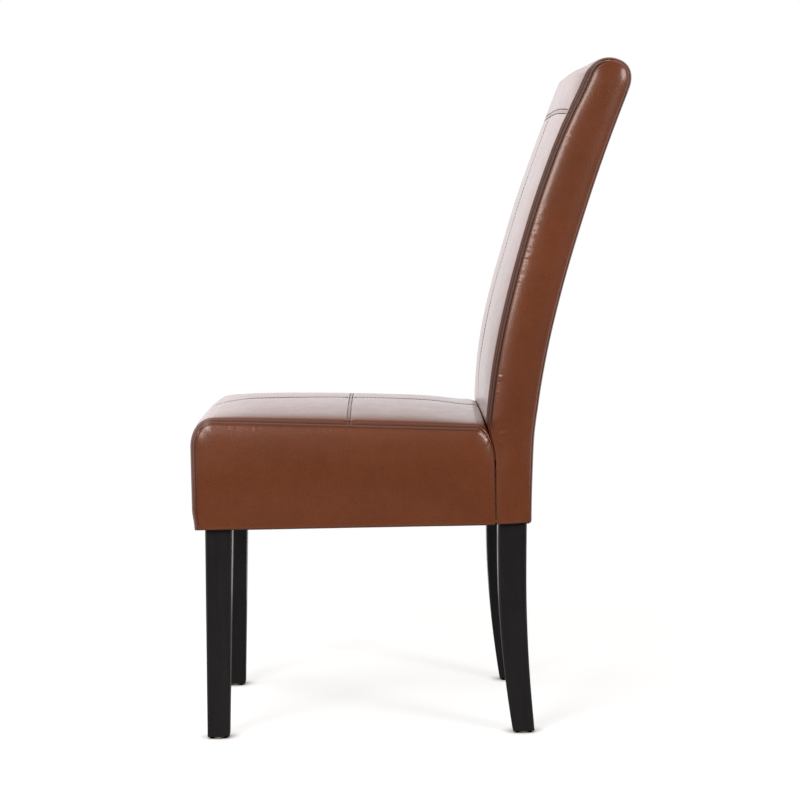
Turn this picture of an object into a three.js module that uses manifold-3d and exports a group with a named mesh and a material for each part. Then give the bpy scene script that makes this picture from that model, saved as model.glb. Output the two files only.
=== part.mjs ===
// A parsons dining chair: a timber frame under foam, in a leather cover sewn from panels.
// Millimetres. The sitter faces -Y, +X is the sitter's left, +Z is up and the floor is Z = 0.
// Along Y the pieces are placed from the front face of the front legs, and the whole chair is
// centred over its origin at the end.

import * as THREE from 'three';
import { mergeVertices } from 'three/addons/utils/BufferGeometryUtils.js';
import Module from 'manifold-3d';

const wasm = await Module();
wasm.setup();

// Sizes that drive the chair
const frameWidth = 433.4;
const seatBoxDepth = 434.3;
const seatBoxHeight = 165.5;
const seatFrontHeight = 480.5;
const postHeight = 960;
const postRake = 158;

// Fits shared by all pieces
const clearance = 0.3;
const cutOverrun = 1;
const leather = 1.8;
const sidePadding = 9;
const rimDrop = 0.8;

const upholsteryBottom = seatFrontHeight - seatBoxHeight;
const halfFrame = frameWidth / 2;
const halfInside = halfFrame + clearance + sidePadding;
const halfWidth = halfInside + clearance + leather + rimDrop;

// Legs and rear posts: square at the seat, slimmer at the foot, the posts shallower again at the top.
// The front feet stand a little forward of the seat box.
const legSize = 40;
const footSize = 32.5;
const frontFootReach = 4;
const postDepth = 42.5;
const postTopDepth = 31;
const postFootDepth = 32;
const legChamfer = 2.5;

// Glides: a flat plastic foot with a nail
const glideHeight = 3;
const glideRadius = 10;
const glideEdge = 0.8;
const nailRadius = 1.2;
const nailLength = 15;

// Seat frame
const railHeight = 70;
const railThickness = 22;
const tenonLength = 14;
const tenonThickness = 10;
const tenonShoulder = 10;
const blockReach = 50;
const frontBlockHeight = 50;
const rearBlockHeight = 28;
const dustCover = 1;
const dustRecess = 0.7;
const railBottom = upholsteryBottom + dustRecess + dustCover + clearance;
const railTop = railBottom + railHeight;
const railCentre = (railBottom + railTop) / 2;
const boardThickness = 12;
const boardTop = railTop + clearance + boardThickness;
const ventRadius = 15;
const ventColumnShares = [-0.5, 0, 0.5];
const ventRowShares = [0.32, 0.68];

// Seat cushion: where its side seam runs, and how far it swells beyond that seam
const frontPadding = 8.8;
const seatFall = 17.5;
const seatRearHeight = seatFrontHeight - seatFall;
const seatFrontRadius = 24;
const seatRearTuck = 20;
const seatTuckRise = 5.7;
const seatRearTuckBottom = boardTop + seatTuckRise;
const seatTuckDepthShare = 0.37;
const seatTuckHeightShare = 0.36;
const seatCrown = 21.5;
const seatFrontCrown = 2.4;
const seatCrownRunShare = 1.09;
const seatSeamShare = 0.515;

// Back: foam in front of the posts, thin padding behind them, foam over the top
const backPad = 30;
const rearPadding = 8.1;
const topPad = 32;
const topFrontRadius = 22;
const topRearRadius = 17;
const backCrown = 8;
const topCrown = 2;
const padBottomShare = 0.676;
const backSeamShare = 0.879;

// Seams and the swell between them
const seamDip = 1.4;
const seamFlat = 5;
const edgeDrop = 1.5;
const edgeRun = 4;
const sideBulge = 1.6;
const crownPower = 2.6;

// Webbing, and the rails between the rear posts
const strapHeight = 50;
const strapThickness = 1.2;
const strapSlack = 1.1;
const strapShares = [0.256, 0.405, 0.5535, 0.702, 0.851];
const backRailHeight = 55;
const backRailDepth = 22;
const lumbarRise = 118;
const middleRailShare = 0.462;

// Bolts that hold the seat box to the rear posts, and their inserts
const boltRadius = 3;
const boltHeadRadius = 6.5;
const boltHeadHeight = 4;
const boltFlangeRadius = 8;
const boltFlange = 1.5;
const boltSocketRadius = 2.5;
const boltSocketDepth = 2.5;
const boltPoint = 1;
const boltBiteShare = 0.9;
const boltEdge = 10;
const insertRadius = 4.5;
const insertLength = 20;
const insertRecess = 1.5;
const insertWell = 6;

const chair = new THREE.Group();

// Finishes, one new material for each piece
const finish = (color, roughness, metalness = 0) =>
  () => new THREE.MeshStandardMaterial({ color, roughness, metalness });
const hide = finish(0x6b4029, 0.45);
const blackLacquer = finish(0x232323, 0.35);
const pine = finish(0xcfae7c, 0.8);
const plywood = finish(0xbf9d6b, 0.8);
const foam = finish(0xe9ddb4, 0.95);
const wadding = finish(0xefeee8, 0.95);
const webbing = finish(0x4a4038, 0.9);
const cambric = finish(0x1c1c1d, 0.95);
const zinc = finish(0xb6babd, 0.4, 1);
const nylon = finish(0xd8d4cc, 0.6);

function add(name, geometry, material) {
  const mesh = new THREE.Mesh(geometry, material());
  mesh.name = name;
  chair.add(mesh);
}

// The pieces that come in pairs: +1 is the sitter's left
const sides = [['left', 1], ['right', -1]];

// Closed solids from points

function closedGeometry(points, triangles) {
  let volume = 0;
  for (const [a, b, c] of triangles) {
    volume += points[a].dot(new THREE.Vector3().crossVectors(points[b], points[c]));
  }
  const outward = volume > 0 ? triangles : triangles.map(([a, b, c]) => [a, c, b]);
  const geometry = new THREE.BufferGeometry().setFromPoints(points);
  geometry.setIndex(outward.flat());
  geometry.computeVertexNormals();
  return geometry;
}

// A bar through rings of points, each ring convex, its ends closed by fans
function ringSolid(rings) {
  const count = rings[0].length;
  const triangles = [];
  for (let i = 0; i + 1 < rings.length; i += 1) {
    for (let j = 0; j < count; j += 1) {
      const a = i * count + j;
      const b = i * count + (j + 1) % count;
      triangles.push([a, b, b + count], [a, b + count, a + count]);
    }
  }
  const last = (rings.length - 1) * count;
  for (let j = 1; j + 1 < count; j += 1) {
    triangles.push([0, j + 1, j], [last, last + j, last + j + 1]);
  }
  return closedGeometry(rings.flat(), triangles);
}

// The body between two grids of points with the same rows and columns
function gridSolid(outer, inner) {
  const rows = outer.length;
  const columns = outer[0].length;
  const offset = rows * columns;
  const triangles = [];
  const quad = (a, b, c, d) => triangles.push([a, b, c], [a, c, d]);
  for (let i = 0; i + 1 < rows; i += 1) {
    for (let j = 0; j + 1 < columns; j += 1) {
      const a = i * columns + j;
      const c = a + columns + 1;
      triangles.push([a, a + 1, c], [a, c, c - 1]);
      triangles.push([a + offset, c + offset, a + 1 + offset], [a + offset, c - 1 + offset, c + offset]);
    }
  }
  for (let i = 0; i + 1 < rows; i += 1) {
    const near = i * columns;
    const far = near + columns - 1;
    quad(near, near + columns, near + columns + offset, near + offset);
    quad(far + columns, far, far + offset, far + columns + offset);
  }
  for (let j = 0; j + 1 < columns; j += 1) {
    const far = (rows - 1) * columns + j;
    quad(j + 1, j, j + offset, j + 1 + offset);
    quad(far, far + 1, far + 1 + offset, far + offset);
  }
  return closedGeometry([...outer.flat(), ...inner.flat()], triangles);
}

// Cuts and joins

function toManifold(geometry) {
  const bare = new THREE.BufferGeometry();
  bare.setAttribute('position', geometry.getAttribute('position').clone());
  if (geometry.index) bare.setIndex(geometry.index.clone());
  const merged = mergeVertices(bare);
  return new wasm.Manifold(new wasm.Mesh({
    numProp: 3,
    vertProperties: new Float32Array(merged.getAttribute('position').array),
    triVerts: new Uint32Array(merged.index.array),
  }));
}

function fromManifold(solid) {
  const { vertProperties, triVerts } = solid.getMesh();
  const geometry = new THREE.BufferGeometry();
  geometry.setAttribute('position', new THREE.BufferAttribute(new Float32Array(vertProperties), 3));
  geometry.setIndex([...triVerts]);
  geometry.computeVertexNormals();
  return geometry;
}

const cut = (geometry, tools) =>
  fromManifold(tools.reduce((solid, tool) => solid.subtract(toManifold(tool)), toManifold(geometry)));
const join = (geometry, other) => fromManifold(toManifold(geometry).add(toManifold(other)));

const boxBetween = (x0, x1, y0, y1, z0, z1) =>
  new THREE.BoxGeometry(Math.abs(x1 - x0), y1 - y0, z1 - z0)
    .translate((x0 + x1) / 2, (y0 + y1) / 2, (z0 + z1) / 2);

// The curve of the rear posts. Its shares are set-backs at even heights from the floor to the posts'
// tops, with one more beyond each end, so that a turn of 0 is the floor and a turn of 1 the tops.
const postSetbackShares = [
  0.16, 0.09, 0.032, 0.003, 0.005, 0.027, 0.075, 0.187, 0.346, 0.539, 0.756, 1, 1.26,
];
const postSpans = postSetbackShares.length - 3;
const postCurve = new THREE.SplineCurve(postSetbackShares.map((share, i) =>
  new THREE.Vector2(share * postRake, (i - 1) / postSpans * postHeight)));
const curveShare = (turn) => (1 + turn * postSpans) / (postSpans + 2);
const postPoint = (turn) => postCurve.getPoint(curveShare(turn));
const postAlong = (turn) => postCurve.getTangent(curveShare(turn));
const bottomTurn = upholsteryBottom / postHeight;
const postOrigin = seatBoxDepth + clearance + postDepth / 2 - postPoint(bottomTurn).x;

// A point of the side view, moved rearward from the posts' middle line. Its x is Y, and its y is Z.
function beside(turn, offset) {
  const point = postPoint(turn);
  const along = postAlong(turn);
  return new THREE.Vector2(postOrigin + point.x + along.y * offset, point.y - along.x * offset);
}

// Half the posts' depth: swelling from the foot to the seat, then easing off to the top
function halfPost(turn) {
  if (turn < bottomTurn) {
    const rise = Math.sin(turn / bottomTurn * Math.PI / 2);
    return (postFootDepth + (postDepth - postFootDepth) * rise) / 2;
  }
  return THREE.MathUtils.mapLinear(turn, bottomTurn, 1, postDepth, postTopDepth) / 2;
}

// Width of a leg along X: it tapers on its inner face, under the seat
const legWidth = (height) =>
  THREE.MathUtils.mapLinear(Math.min(height, upholsteryBottom), 0, upholsteryBottom, footSize, legSize);

// How far forward a front leg leans at a height under the seat
const frontLean = (height) =>
  THREE.MathUtils.mapLinear(Math.min(height, upholsteryBottom), 0, upholsteryBottom, frontFootReach, 0);

// The eight corners of a leg's section with eased edges
function legRing(side, inner, outer, near, far, place) {
  const c = legChamfer;
  const corners = [
    [inner + c, near], [outer - c, near], [outer, near + c], [outer, far - c],
    [outer - c, far], [inner + c, far], [inner, far - c], [inner, near + c],
  ];
  return corners.map(([x, depth]) => place(side * x, depth));
}

// Rows of the back: height share, then how thick the front foam is there and how far it swells in the
// middle, as shares of backPad and backCrown. Beside the seat the heights are shares of the way from the
// upholstery's bottom edge to the seat's rear, and above it shares of the way on to the posts' tops.
const besideSeatShares = [
  [0, 0, 0], [0.35, 0, 0], [padBottomShare, 0.13, 0], [0.784, 0.3, 0.1], [0.924, 0.56, 0.25],
];
const aboveSeatShares = [
  [0.014, 0.74, 0.45], [0.075, 0.76, 0.85], [0.156, 0.81, 1.1], [0.255, 0.86, 1.2], [0.377, 0.91, 1.2],
  [0.507, 0.96, 1.1], [0.637, 1, 1.1], [0.759, 0.985, 1.2], [backSeamShare, 0.9, 1.6], [0.948, 0.8, 2],
  [1, 0.75, 2.1],
];
const seatRearShare = (seatRearHeight - upholsteryBottom) / (postHeight - upholsteryBottom);
const aboveSeat = (share) => THREE.MathUtils.lerp(seatRearShare, 1, share);
const backRows = [
  ...besideSeatShares.map(([height, pad, crown]) => [height * seatRearShare, pad, crown]),
  ...aboveSeatShares.map(([height, pad, crown]) => [aboveSeat(height), pad, crown]),
];
const padBottom = padBottomShare * seatRearShare;
const backSeam = aboveSeat(backSeamShare);
const turnAt = (height) => THREE.MathUtils.lerp(bottomTurn, 1, height);
const backTurns = backRows.map(([height]) => turnAt(height));

// Value of a column of backRows at any height
function backShareAt(column, height) {
  const next = Math.max(1, backRows.findIndex(([row]) => row >= height));
  const [below, above] = [backRows[next - 1], backRows[next]];
  return THREE.MathUtils.mapLinear(height, below[0], above[0], below[column], above[column]);
}

// Rear posts

const footSinkRadius = nailRadius + clearance;
const nailHole = (x, y) =>
  new THREE.CylinderGeometry(footSinkRadius, footSinkRadius, nailLength + clearance + cutOverrun, 12)
    .rotateX(Math.PI / 2)
    .translate(x, y, glideHeight + (nailLength + clearance - cutOverrun) / 2);

const legInner = halfFrame - legSize;
const railInner = halfFrame - railThickness;
const footX = halfFrame - footSize / 2;
const footTurn = glideHeight / postHeight;
const rearFootY = beside(footTurn, 0).x;
const frontFootY = footSize / 2 - frontFootReach;
const legShares = [0.08, 0.16, 0.24, 0.32, 0.4, 0.48, 0.56, 0.64, 0.72, 0.8, 0.88, 0.95];
const legTurns = [footTurn, ...legShares.map((share) => share * bottomTurn)];

function rearPost(side) {
  const ring = (turn) => legRing(side, halfFrame - legWidth(turn * postHeight), halfFrame,
    -halfPost(turn), halfPost(turn), (x, depth) => {
      const point = beside(turn, depth);
      return new THREE.Vector3(x, point.x, turn === footTurn ? glideHeight : point.y);
    });
  return ringSolid([...legTurns, ...backTurns].map(ring));
}

// Rails between the rear posts, each lying along the posts' curve at its own height
const crestTop = postHeight - clearance;
const lumbarTop = railTop + lumbarRise;
const backRailTops = {
  crest_rail: crestTop,
  middle_back_rail: THREE.MathUtils.lerp(lumbarTop, crestTop, middleRailShare),
  lumbar_rail: lumbarTop,
  bottom_back_rail: railCentre + backRailHeight / 2,
};
const railGap = 2 * (legInner - clearance);

function backRail(top, length, depth, height) {
  const turn = (top - backRailHeight / 2) / postHeight;
  const along = postAlong(turn);
  const place = beside(turn, 0);
  return new THREE.BoxGeometry(length, depth, height)
    .rotateX(-Math.atan2(along.x, along.y))
    .translate(0, place.x, place.y);
}

const backRailTenonHeight = backRailHeight - 2 * tenonShoulder;
const backMortises = Object.values(backRailTops).map((top) =>
  backRail(top, railGap + 2 * (tenonLength + 2 * clearance), tenonThickness + 2 * clearance,
    backRailTenonHeight + 2 * clearance));

// Bolts pass through the rear seat rail, between each side rail and the inner face of the post
const boltX = (legInner + railInner) / 2;
const boltHeights = { lower: railBottom + boltEdge, upper: railTop - boltEdge };
const boxInsideRear = seatBoxDepth - leather - clearance;
const rearRailFront = boxInsideRear - railThickness;
const postFrontAt = (height) => beside(height / postHeight, -halfPost(height / postHeight)).x;

const alongY = (radius, from, to, x, z) =>
  new THREE.CylinderGeometry(radius, radius, to - from, 16).translate(x, (from + to) / 2, z);

for (const [name, side] of sides) {
  const wells = Object.values(boltHeights).map((z) => alongY(insertRadius + clearance,
    postFrontAt(z) - cutOverrun, postFrontAt(z) + insertRecess + insertLength + insertWell,
    side * boltX, z));
  const post = cut(rearPost(side), [...backMortises, ...wells, nailHole(side * footX, rearFootY)]);
  add(`${name}_rear_post`, post, blackLacquer);
}

for (const [name, top] of Object.entries(backRailTops)) {
  const rail = join(backRail(top, railGap, backRailDepth, backRailHeight),
    backRail(top, railGap + 2 * tenonLength, tenonThickness, backRailTenonHeight));
  add(name, rail, pine);
}

// Seat frame

const tenonBottom = railBottom + tenonShoulder;
const tenonTop = railTop - tenonShoulder;
const railMiddle = railThickness / 2;
const sideRailMiddle = halfFrame - railMiddle;
const rearRailMiddle = rearRailFront + railMiddle;

// A tenon and its mortise: the mortise is the same box grown by the clearance
function tenonBox(x0, x1, y0, y1, grow) {
  return boxBetween(x0 - grow, x1 + grow, y0 - grow, y1 + grow, tenonBottom - grow, tenonTop + grow);
}
const frontTenon = (grow) => tenonBox(-legInner - tenonLength, legInner + tenonLength,
  railMiddle - tenonThickness / 2, railMiddle + tenonThickness / 2, grow);
const rearTenon = (grow) => tenonBox(-railInner - tenonLength, railInner + tenonLength,
  rearRailMiddle - tenonThickness / 2, rearRailMiddle + tenonThickness / 2, grow);
const sideTenon = (side, grow) => tenonBox(side * sideRailMiddle - tenonThickness / 2,
  side * sideRailMiddle + tenonThickness / 2, legSize - tenonLength, legSize + tenonLength, grow);

function frontLeg(side) {
  const ring = (z) => {
    const size = legWidth(z);
    const front = -frontLean(z);
    return legRing(side, halfFrame - size, halfFrame, front, front + size,
      (x, y) => new THREE.Vector3(x, y, z));
  };
  return ringSolid([glideHeight, upholsteryBottom, railTop].map(ring));
}

for (const [name, side] of sides) {
  const leg = cut(frontLeg(side),
    [frontTenon(clearance), sideTenon(side, clearance), nailHole(side * footX, frontFootY)]);
  add(`${name}_front_leg`, leg, blackLacquer);

  const sideRail = boxBetween(side * railInner, side * halfFrame, legSize + clearance, boxInsideRear,
    railBottom, railTop);
  add(`${name}_seat_rail`, cut(join(sideRail, sideTenon(side, 0)), [rearTenon(clearance)]), pine);
}

const legGap = legInner - clearance;
add('front_seat_rail', join(boxBetween(-legGap, legGap, 0, railThickness, railBottom, railTop),
  frontTenon(0)), pine);

const boltHoleRadius = boltRadius + clearance;
const boltHoles = sides.flatMap(([, side]) => Object.values(boltHeights).map((z) =>
  alongY(boltHoleRadius, rearRailFront - cutOverrun, seatBoxDepth + cutOverrun, side * boltX, z)));
const rearRailEnd = railInner - clearance;
const rearRail = boxBetween(-rearRailEnd, rearRailEnd, rearRailFront, boxInsideRear, railBottom, railTop);
add('rear_seat_rail', cut(join(rearRail, rearTenon(0)), boltHoles), pine);

// Corner blocks: the front pair fits round the legs, the rear pair lies between the bolts
const outline = (points) => new THREE.Shape(points.map(([x, y]) => new THREE.Vector2(x, y)));
const railFace = railThickness + clearance;
const blockSide = railInner - clearance;
const legSide = legInner - clearance;
const legBack = legSize + clearance;
const rearFace = rearRailFront - clearance;

for (const [name, side] of sides) {
  const front = outline([
    [side * legSide, railFace], [side * (legSide - blockReach), railFace],
    [side * blockSide, legBack + blockReach], [side * blockSide, legBack], [side * legSide, legBack],
  ]);
  add(`${name}_front_corner_block`,
    new THREE.ExtrudeGeometry(front, { depth: frontBlockHeight, bevelEnabled: false })
      .translate(0, 0, railCentre - frontBlockHeight / 2), pine);

  const rear = outline([
    [side * blockSide, rearFace], [side * (blockSide - blockReach), rearFace],
    [side * blockSide, rearFace - blockReach],
  ]);
  add(`${name}_rear_corner_block`,
    new THREE.ExtrudeGeometry(rear, { depth: rearBlockHeight, bevelEnabled: false })
      .translate(0, 0, railCentre - rearBlockHeight / 2), pine);
}

const board = outline([
  [-halfFrame, 0], [halfFrame, 0], [halfFrame, boxInsideRear], [-halfFrame, boxInsideRear],
]);
for (const columnShare of ventColumnShares) {
  for (const rowShare of ventRowShares) {
    board.holes.push(new THREE.Path()
      .absarc(columnShare * halfFrame, rowShare * boxInsideRear, ventRadius, 0, Math.PI * 2));
  }
}
const boardBody = new THREE.ExtrudeGeometry(board,
  { depth: boardThickness, bevelEnabled: false, curveSegments: 16 });
add('seat_board', boardBody.translate(0, 0, railTop + clearance), plywood);

// Bolts and inserts

function boltGeometry(length) {
  const head = -boltFlange - boltHeadHeight;
  return new THREE.LatheGeometry([
    [0, head + boltSocketDepth], [boltSocketRadius, head + boltSocketDepth], [boltSocketRadius, head],
    [boltHeadRadius, head], [boltHeadRadius, -boltFlange], [boltFlangeRadius, -boltFlange],
    [boltFlangeRadius, 0], [boltRadius, 0], [boltRadius, length - boltPoint],
    [boltRadius - boltPoint, length], [0, length],
  ].map(([radius, y]) => new THREE.Vector2(radius, y)), 16);
}

const insertBore = boltRadius + clearance;
const insertGeometry = () => new THREE.LatheGeometry([
  [insertBore, 0], [insertRadius, 0], [insertRadius, insertLength], [insertBore, insertLength],
  [insertBore, 0],
].map(([radius, y]) => new THREE.Vector2(radius, y)), 16);

for (const [name, side] of sides) {
  for (const [level, z] of Object.entries(boltHeights)) {
    const insertFront = postFrontAt(z) + insertRecess;
    const head = rearRailFront - clearance;
    const bolt = boltGeometry(insertFront + insertLength * boltBiteShare - head);
    add(`${name}_${level}_bolt`, bolt.translate(side * boltX, head, z), zinc);
    add(`${name}_${level}_insert`, insertGeometry().translate(side * boltX, insertFront, z), zinc);
  }
}

// Glides

function glideGeometry() {
  return new THREE.LatheGeometry([
    [0, 0], [glideRadius - glideEdge, 0], [glideRadius, glideEdge], [glideRadius, glideHeight - clearance],
    [nailRadius, glideHeight - clearance], [nailRadius, glideHeight + nailLength - nailRadius],
    [0, glideHeight + nailLength],
  ].map(([radius, y]) => new THREE.Vector2(radius, y)), 20).rotateX(Math.PI / 2);
}

for (const [name, side] of sides) {
  add(`${name}_front_glide`, glideGeometry().translate(side * footX, frontFootY, 0), nylon);
  add(`${name}_rear_glide`, glideGeometry().translate(side * footX, rearFootY, 0), nylon);
}

// Side views of the upholstery: runs of stations up the front, over the top and down the rear.
// Each station has its point and how far the leather swells there in the middle. Row is 1 where a seam
// runs across there, middle is 1 where the middle seam passes, and soft is 1 where the edges round off.

const station = (point, lift, { row = 0, middle = 1, soft = 1 } = {}) =>
  ({ point, lift, row, middle, soft });
const plain = { middle: 0, soft: 0 };
const still = new THREE.Vector2(0, 0);

// Moves a run of points to the left of its direction
function offsetRun(run, distance) {
  const leftOf = (from, to) => {
    const step = to.clone().sub(from).normalize();
    return new THREE.Vector2(-step.y, step.x);
  };
  return run.map((point, i) => {
    const first = i === 0;
    const last = i === run.length - 1;
    const before = leftOf(first ? point : run[i - 1], first ? run[1] : point);
    const after = leftOf(last ? run[i - 1] : point, last ? point : run[i + 1]);
    const middle = before.clone().add(after).normalize();
    return point.clone().addScaledVector(middle, distance / middle.dot(before));
  });
}

// Points of the leather over a run of stations, sunk below its face by an inset
function skin(stations, across, inset) {
  const run = stations.map(({ point }) => point);
  const sunk = offsetRun(run, -inset);
  const raised = offsetRun(run, 1);
  return stations.map(({ lift, row, middle, soft }, i) => across.map((x) => {
    const swell = 1 - Math.abs(x / halfWidth) ** crownPower;
    const seam = Math.max(row, middle * THREE.MathUtils.clamp(1 - Math.abs(x) / seamFlat, 0, 1));
    const edge = soft * THREE.MathUtils.clamp((Math.abs(x) - halfWidth + edgeRun) / edgeRun, 0, 1);
    const drop = Math.max(seamDip * seam, edgeDrop * edge);
    const left = raised[i].clone().sub(run[i]);
    return new THREE.Vector3(x, sunk[i].x + lift.x * swell - left.x * drop,
      sunk[i].y + lift.y * swell - left.y * drop);
  }));
}

const acrossShares = [0.26, 0.5, 0.71, 0.87];
const seamEdge = clearance / 2;
const halfAcross = [
  seamEdge, seamFlat, ...acrossShares.map((share) => share * halfWidth), halfWidth - edgeRun,
];
const rightOf = (list) => list.map((x) => -x).reverse();
const mirrored = (list) => [...rightOf(list), ...list];
const leftAcross = [...halfAcross, halfWidth];
const panelAcross = (side) => (side > 0 ? leftAcross : rightOf(leftAcross));
const wholeAcross = mirrored(leftAcross);
const foamAcross = mirrored([...halfAcross, halfInside]);

const panel = (stations, across) => gridSolid(skin(stations, across, 0), skin(stations, across, leather));

// Seat, from the front edge of the underside to the rear one

const frontBuild = clearance + frontPadding + clearance + leather;
const seatFront = -frontBuild;
const seatDepth = seatBoxDepth - seatFront;
const arcTop = seatFront + seatFrontRadius;
const arcBottom = seatFrontHeight - seatFrontRadius;
const seatRearTop = seatBoxDepth - seatRearTuck;
const seatTopAt = (y) => THREE.MathUtils.mapLinear(y, arcTop, seatRearTop, seatFrontHeight, seatRearHeight);
const foamBottom = boardTop + clearance;
const frontBottomLiftShare = 0.4;
const frontMiddleLiftShare = 0.85;
const arcSteps = 4;
const topShares = [0.06, 0.16, 0.3];
const topRearShares = [0.68, 0.82, 0.93];

function seatLift(y) {
  const run = (y - seatFront) / (seatDepth * seatCrownRunShare);
  return seatCrown * Math.sqrt(Math.sin(Math.PI * run));
}

const forward = (length) => new THREE.Vector2(-length, 0);
const upward = (length) => new THREE.Vector2(0, length);

const frontStation = (z, liftShare) =>
  station(new THREE.Vector2(seatFront, z), forward(seatFrontCrown * liftShare));
const seatStations = [
  frontStation(upholsteryBottom, frontBottomLiftShare),
  frontStation((upholsteryBottom + railTop) / 2, frontMiddleLiftShare),
  frontStation(boardTop, 1),
  frontStation(foamBottom, 1),
];
const foamStart = seatStations.length - 1;
for (let i = 0; i <= arcSteps; i += 1) {
  const angle = Math.PI / 2 * i / arcSteps;
  const lift = THREE.MathUtils.lerp(seatFrontCrown, seatLift(arcTop), i / arcSteps);
  const outward = new THREE.Vector2(-Math.cos(angle), Math.sin(angle));
  const point = new THREE.Vector2(arcTop, arcBottom).addScaledVector(outward, seatFrontRadius);
  seatStations.push(station(point, outward.multiplyScalar(lift)));
}
const topStation = (y, row = 0) =>
  station(new THREE.Vector2(y, seatTopAt(y)), upward(seatLift(y)), { row });
const topY = (share) => THREE.MathUtils.lerp(arcTop, seatRearTop, share);
const topRun = (shares) => shares.map((share) => topStation(topY(share)));
const seamY = topY(seatSeamShare);
seatStations.push(...topRun(topShares), topStation(seamY - seamFlat), topStation(seamY - seamEdge, 1));
const frontPanelEnd = seatStations.length;
seatStations.push(topStation(seamY + seamEdge, 1), topStation(seamY + seamFlat), ...topRun(topRearShares));
seatStations.push(topStation(seatRearTop));
const tuckMiddle = new THREE.Vector2(seatBoxDepth - seatRearTuck * seatTuckDepthShare,
  THREE.MathUtils.lerp(seatRearHeight, seatRearTuckBottom, seatTuckHeightShare));
seatStations.push(station(tuckMiddle, still));
seatStations.push(station(new THREE.Vector2(seatBoxDepth, seatRearTuckBottom), still, plain));
const foamEnd = seatStations.length;
seatStations.push(station(new THREE.Vector2(seatBoxDepth, upholsteryBottom), still, plain));

for (const [name, side] of sides) {
  add(`seat_front_${name}_panel`, panel(seatStations.slice(0, frontPanelEnd), panelAcross(side)), hide);
  const rear = panel(seatStations.slice(frontPanelEnd), panelAcross(side));
  add(`seat_rear_${name}_panel`, cut(rear, boltHoles), hide);
}

// The foam fills the leather above the board. Its underside is even, from front to rear.
const seatFoamTop = skin(seatStations.slice(foamStart, foamEnd), foamAcross, leather + clearance);
const foamFront = seatFront + leather + clearance + clearance;
const foamRear = seatBoxDepth - leather - clearance - clearance;
const seatFoamUnderside = seatFoamTop.map((row, i) => row.map((point) => new THREE.Vector3(point.x,
  THREE.MathUtils.mapLinear(i, 0, seatFoamTop.length - 1, foamFront, foamRear), foamBottom)));
add('seat_foam', gridSolid(seatFoamTop, seatFoamUnderside), foam);

const frontStations = seatStations.slice(0, foamStart);
const frontPaddingFace = skin(frontStations, foamAcross, leather + clearance);
const frontPaddingBack = frontPaddingFace.map((row) => row.map((point) =>
  new THREE.Vector3(point.x, -clearance, point.z)));
const raisedTo = (rows, bottom) => rows.map((row) => row.map((point) =>
  new THREE.Vector3(point.x, point.y, Math.max(point.z, bottom))));
add('seat_front_padding', gridSolid(raisedTo(frontPaddingFace, railBottom),
  raisedTo(frontPaddingBack, railBottom)), wadding);

for (const [name, side] of sides) {
  add(`seat_${name}_padding`, boxBetween(side * (halfFrame + clearance), side * halfInside,
    0, boxInsideRear, railBottom, boardTop), wadding);
}

// Side panels: slabs whose middle stands out a little beyond their sewn edges

const bulgeShares = [0, 0.12, 0.5, 0.88, 1];
const rimInset = leather + clearance + edgeDrop;

// The outer and inner faces of a side panel, from rows of its low and high edge points
function sidePanel(side, rows) {
  const face = (depth) => rows.map(([low, high], i) => bulgeShares.map((share) => {
    const point = low.clone().lerp(high, share);
    const along = Math.sin(Math.PI * i / (rows.length - 1));
    const across = Math.sin(Math.PI * share);
    const stand = sideBulge * Math.sqrt(Math.max(along, 0) * Math.max(across, 0)) - rimDrop;
    return new THREE.Vector3(side * (halfWidth + stand - depth), point.x, point.y);
  }));
  return gridSolid(face(0), face(leather));
}

const seatRim = offsetRun(seatStations.map(({ point }) => point), -rimInset);
const seatPanelRows = seatRim
  .filter((point, i) => i > foamStart && i < seatRim.length - 1)
  .map((point) => [new THREE.Vector2(point.x, upholsteryBottom), point]);
for (const [name, side] of sides) {
  add(`seat_${name}_side_panel`, sidePanel(side, seatPanelRows), hide);
}

// Back

const frontOffset = (height) => -halfPost(turnAt(height)) - backPad * backShareAt(1, height);
const rearBuild = clearance + rearPadding + clearance + leather;
const rearOffset = (turn) => halfPost(turn) + rearBuild;

function backFrontStation(height, row = 0) {
  const turn = turnAt(height);
  const along = postAlong(turn);
  const lift = new THREE.Vector2(-along.y, along.x).multiplyScalar(backCrown * backShareAt(2, height));
  const middle = height < backSeam ? 1 : 0;
  return station(beside(turn, frontOffset(height)), lift, { row, middle });
}

const paddedHeights = backRows.map(([height]) => height).filter((height) => height >= padBottom);
const besideSeam = (length) => backSeam + length / (postHeight - upholsteryBottom);
const belowSeam = paddedHeights.filter((height) => height < besideSeam(-seamFlat));
const aboveSeam = paddedHeights.filter((height) => height > besideSeam(seamFlat));
const lowerHeights = [...belowSeam, besideSeam(-seamFlat)];
const upperHeights = [besideSeam(seamFlat), ...aboveSeam];
const backStations = [
  ...lowerHeights.map((height) => backFrontStation(height)),
  backFrontStation(besideSeam(-seamEdge), 1),
];
const backPanelEnd = backStations.length;
backStations.push(
  backFrontStation(besideSeam(seamEdge), 1),
  ...upperHeights.map((height) => backFrontStation(height)),
);

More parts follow.
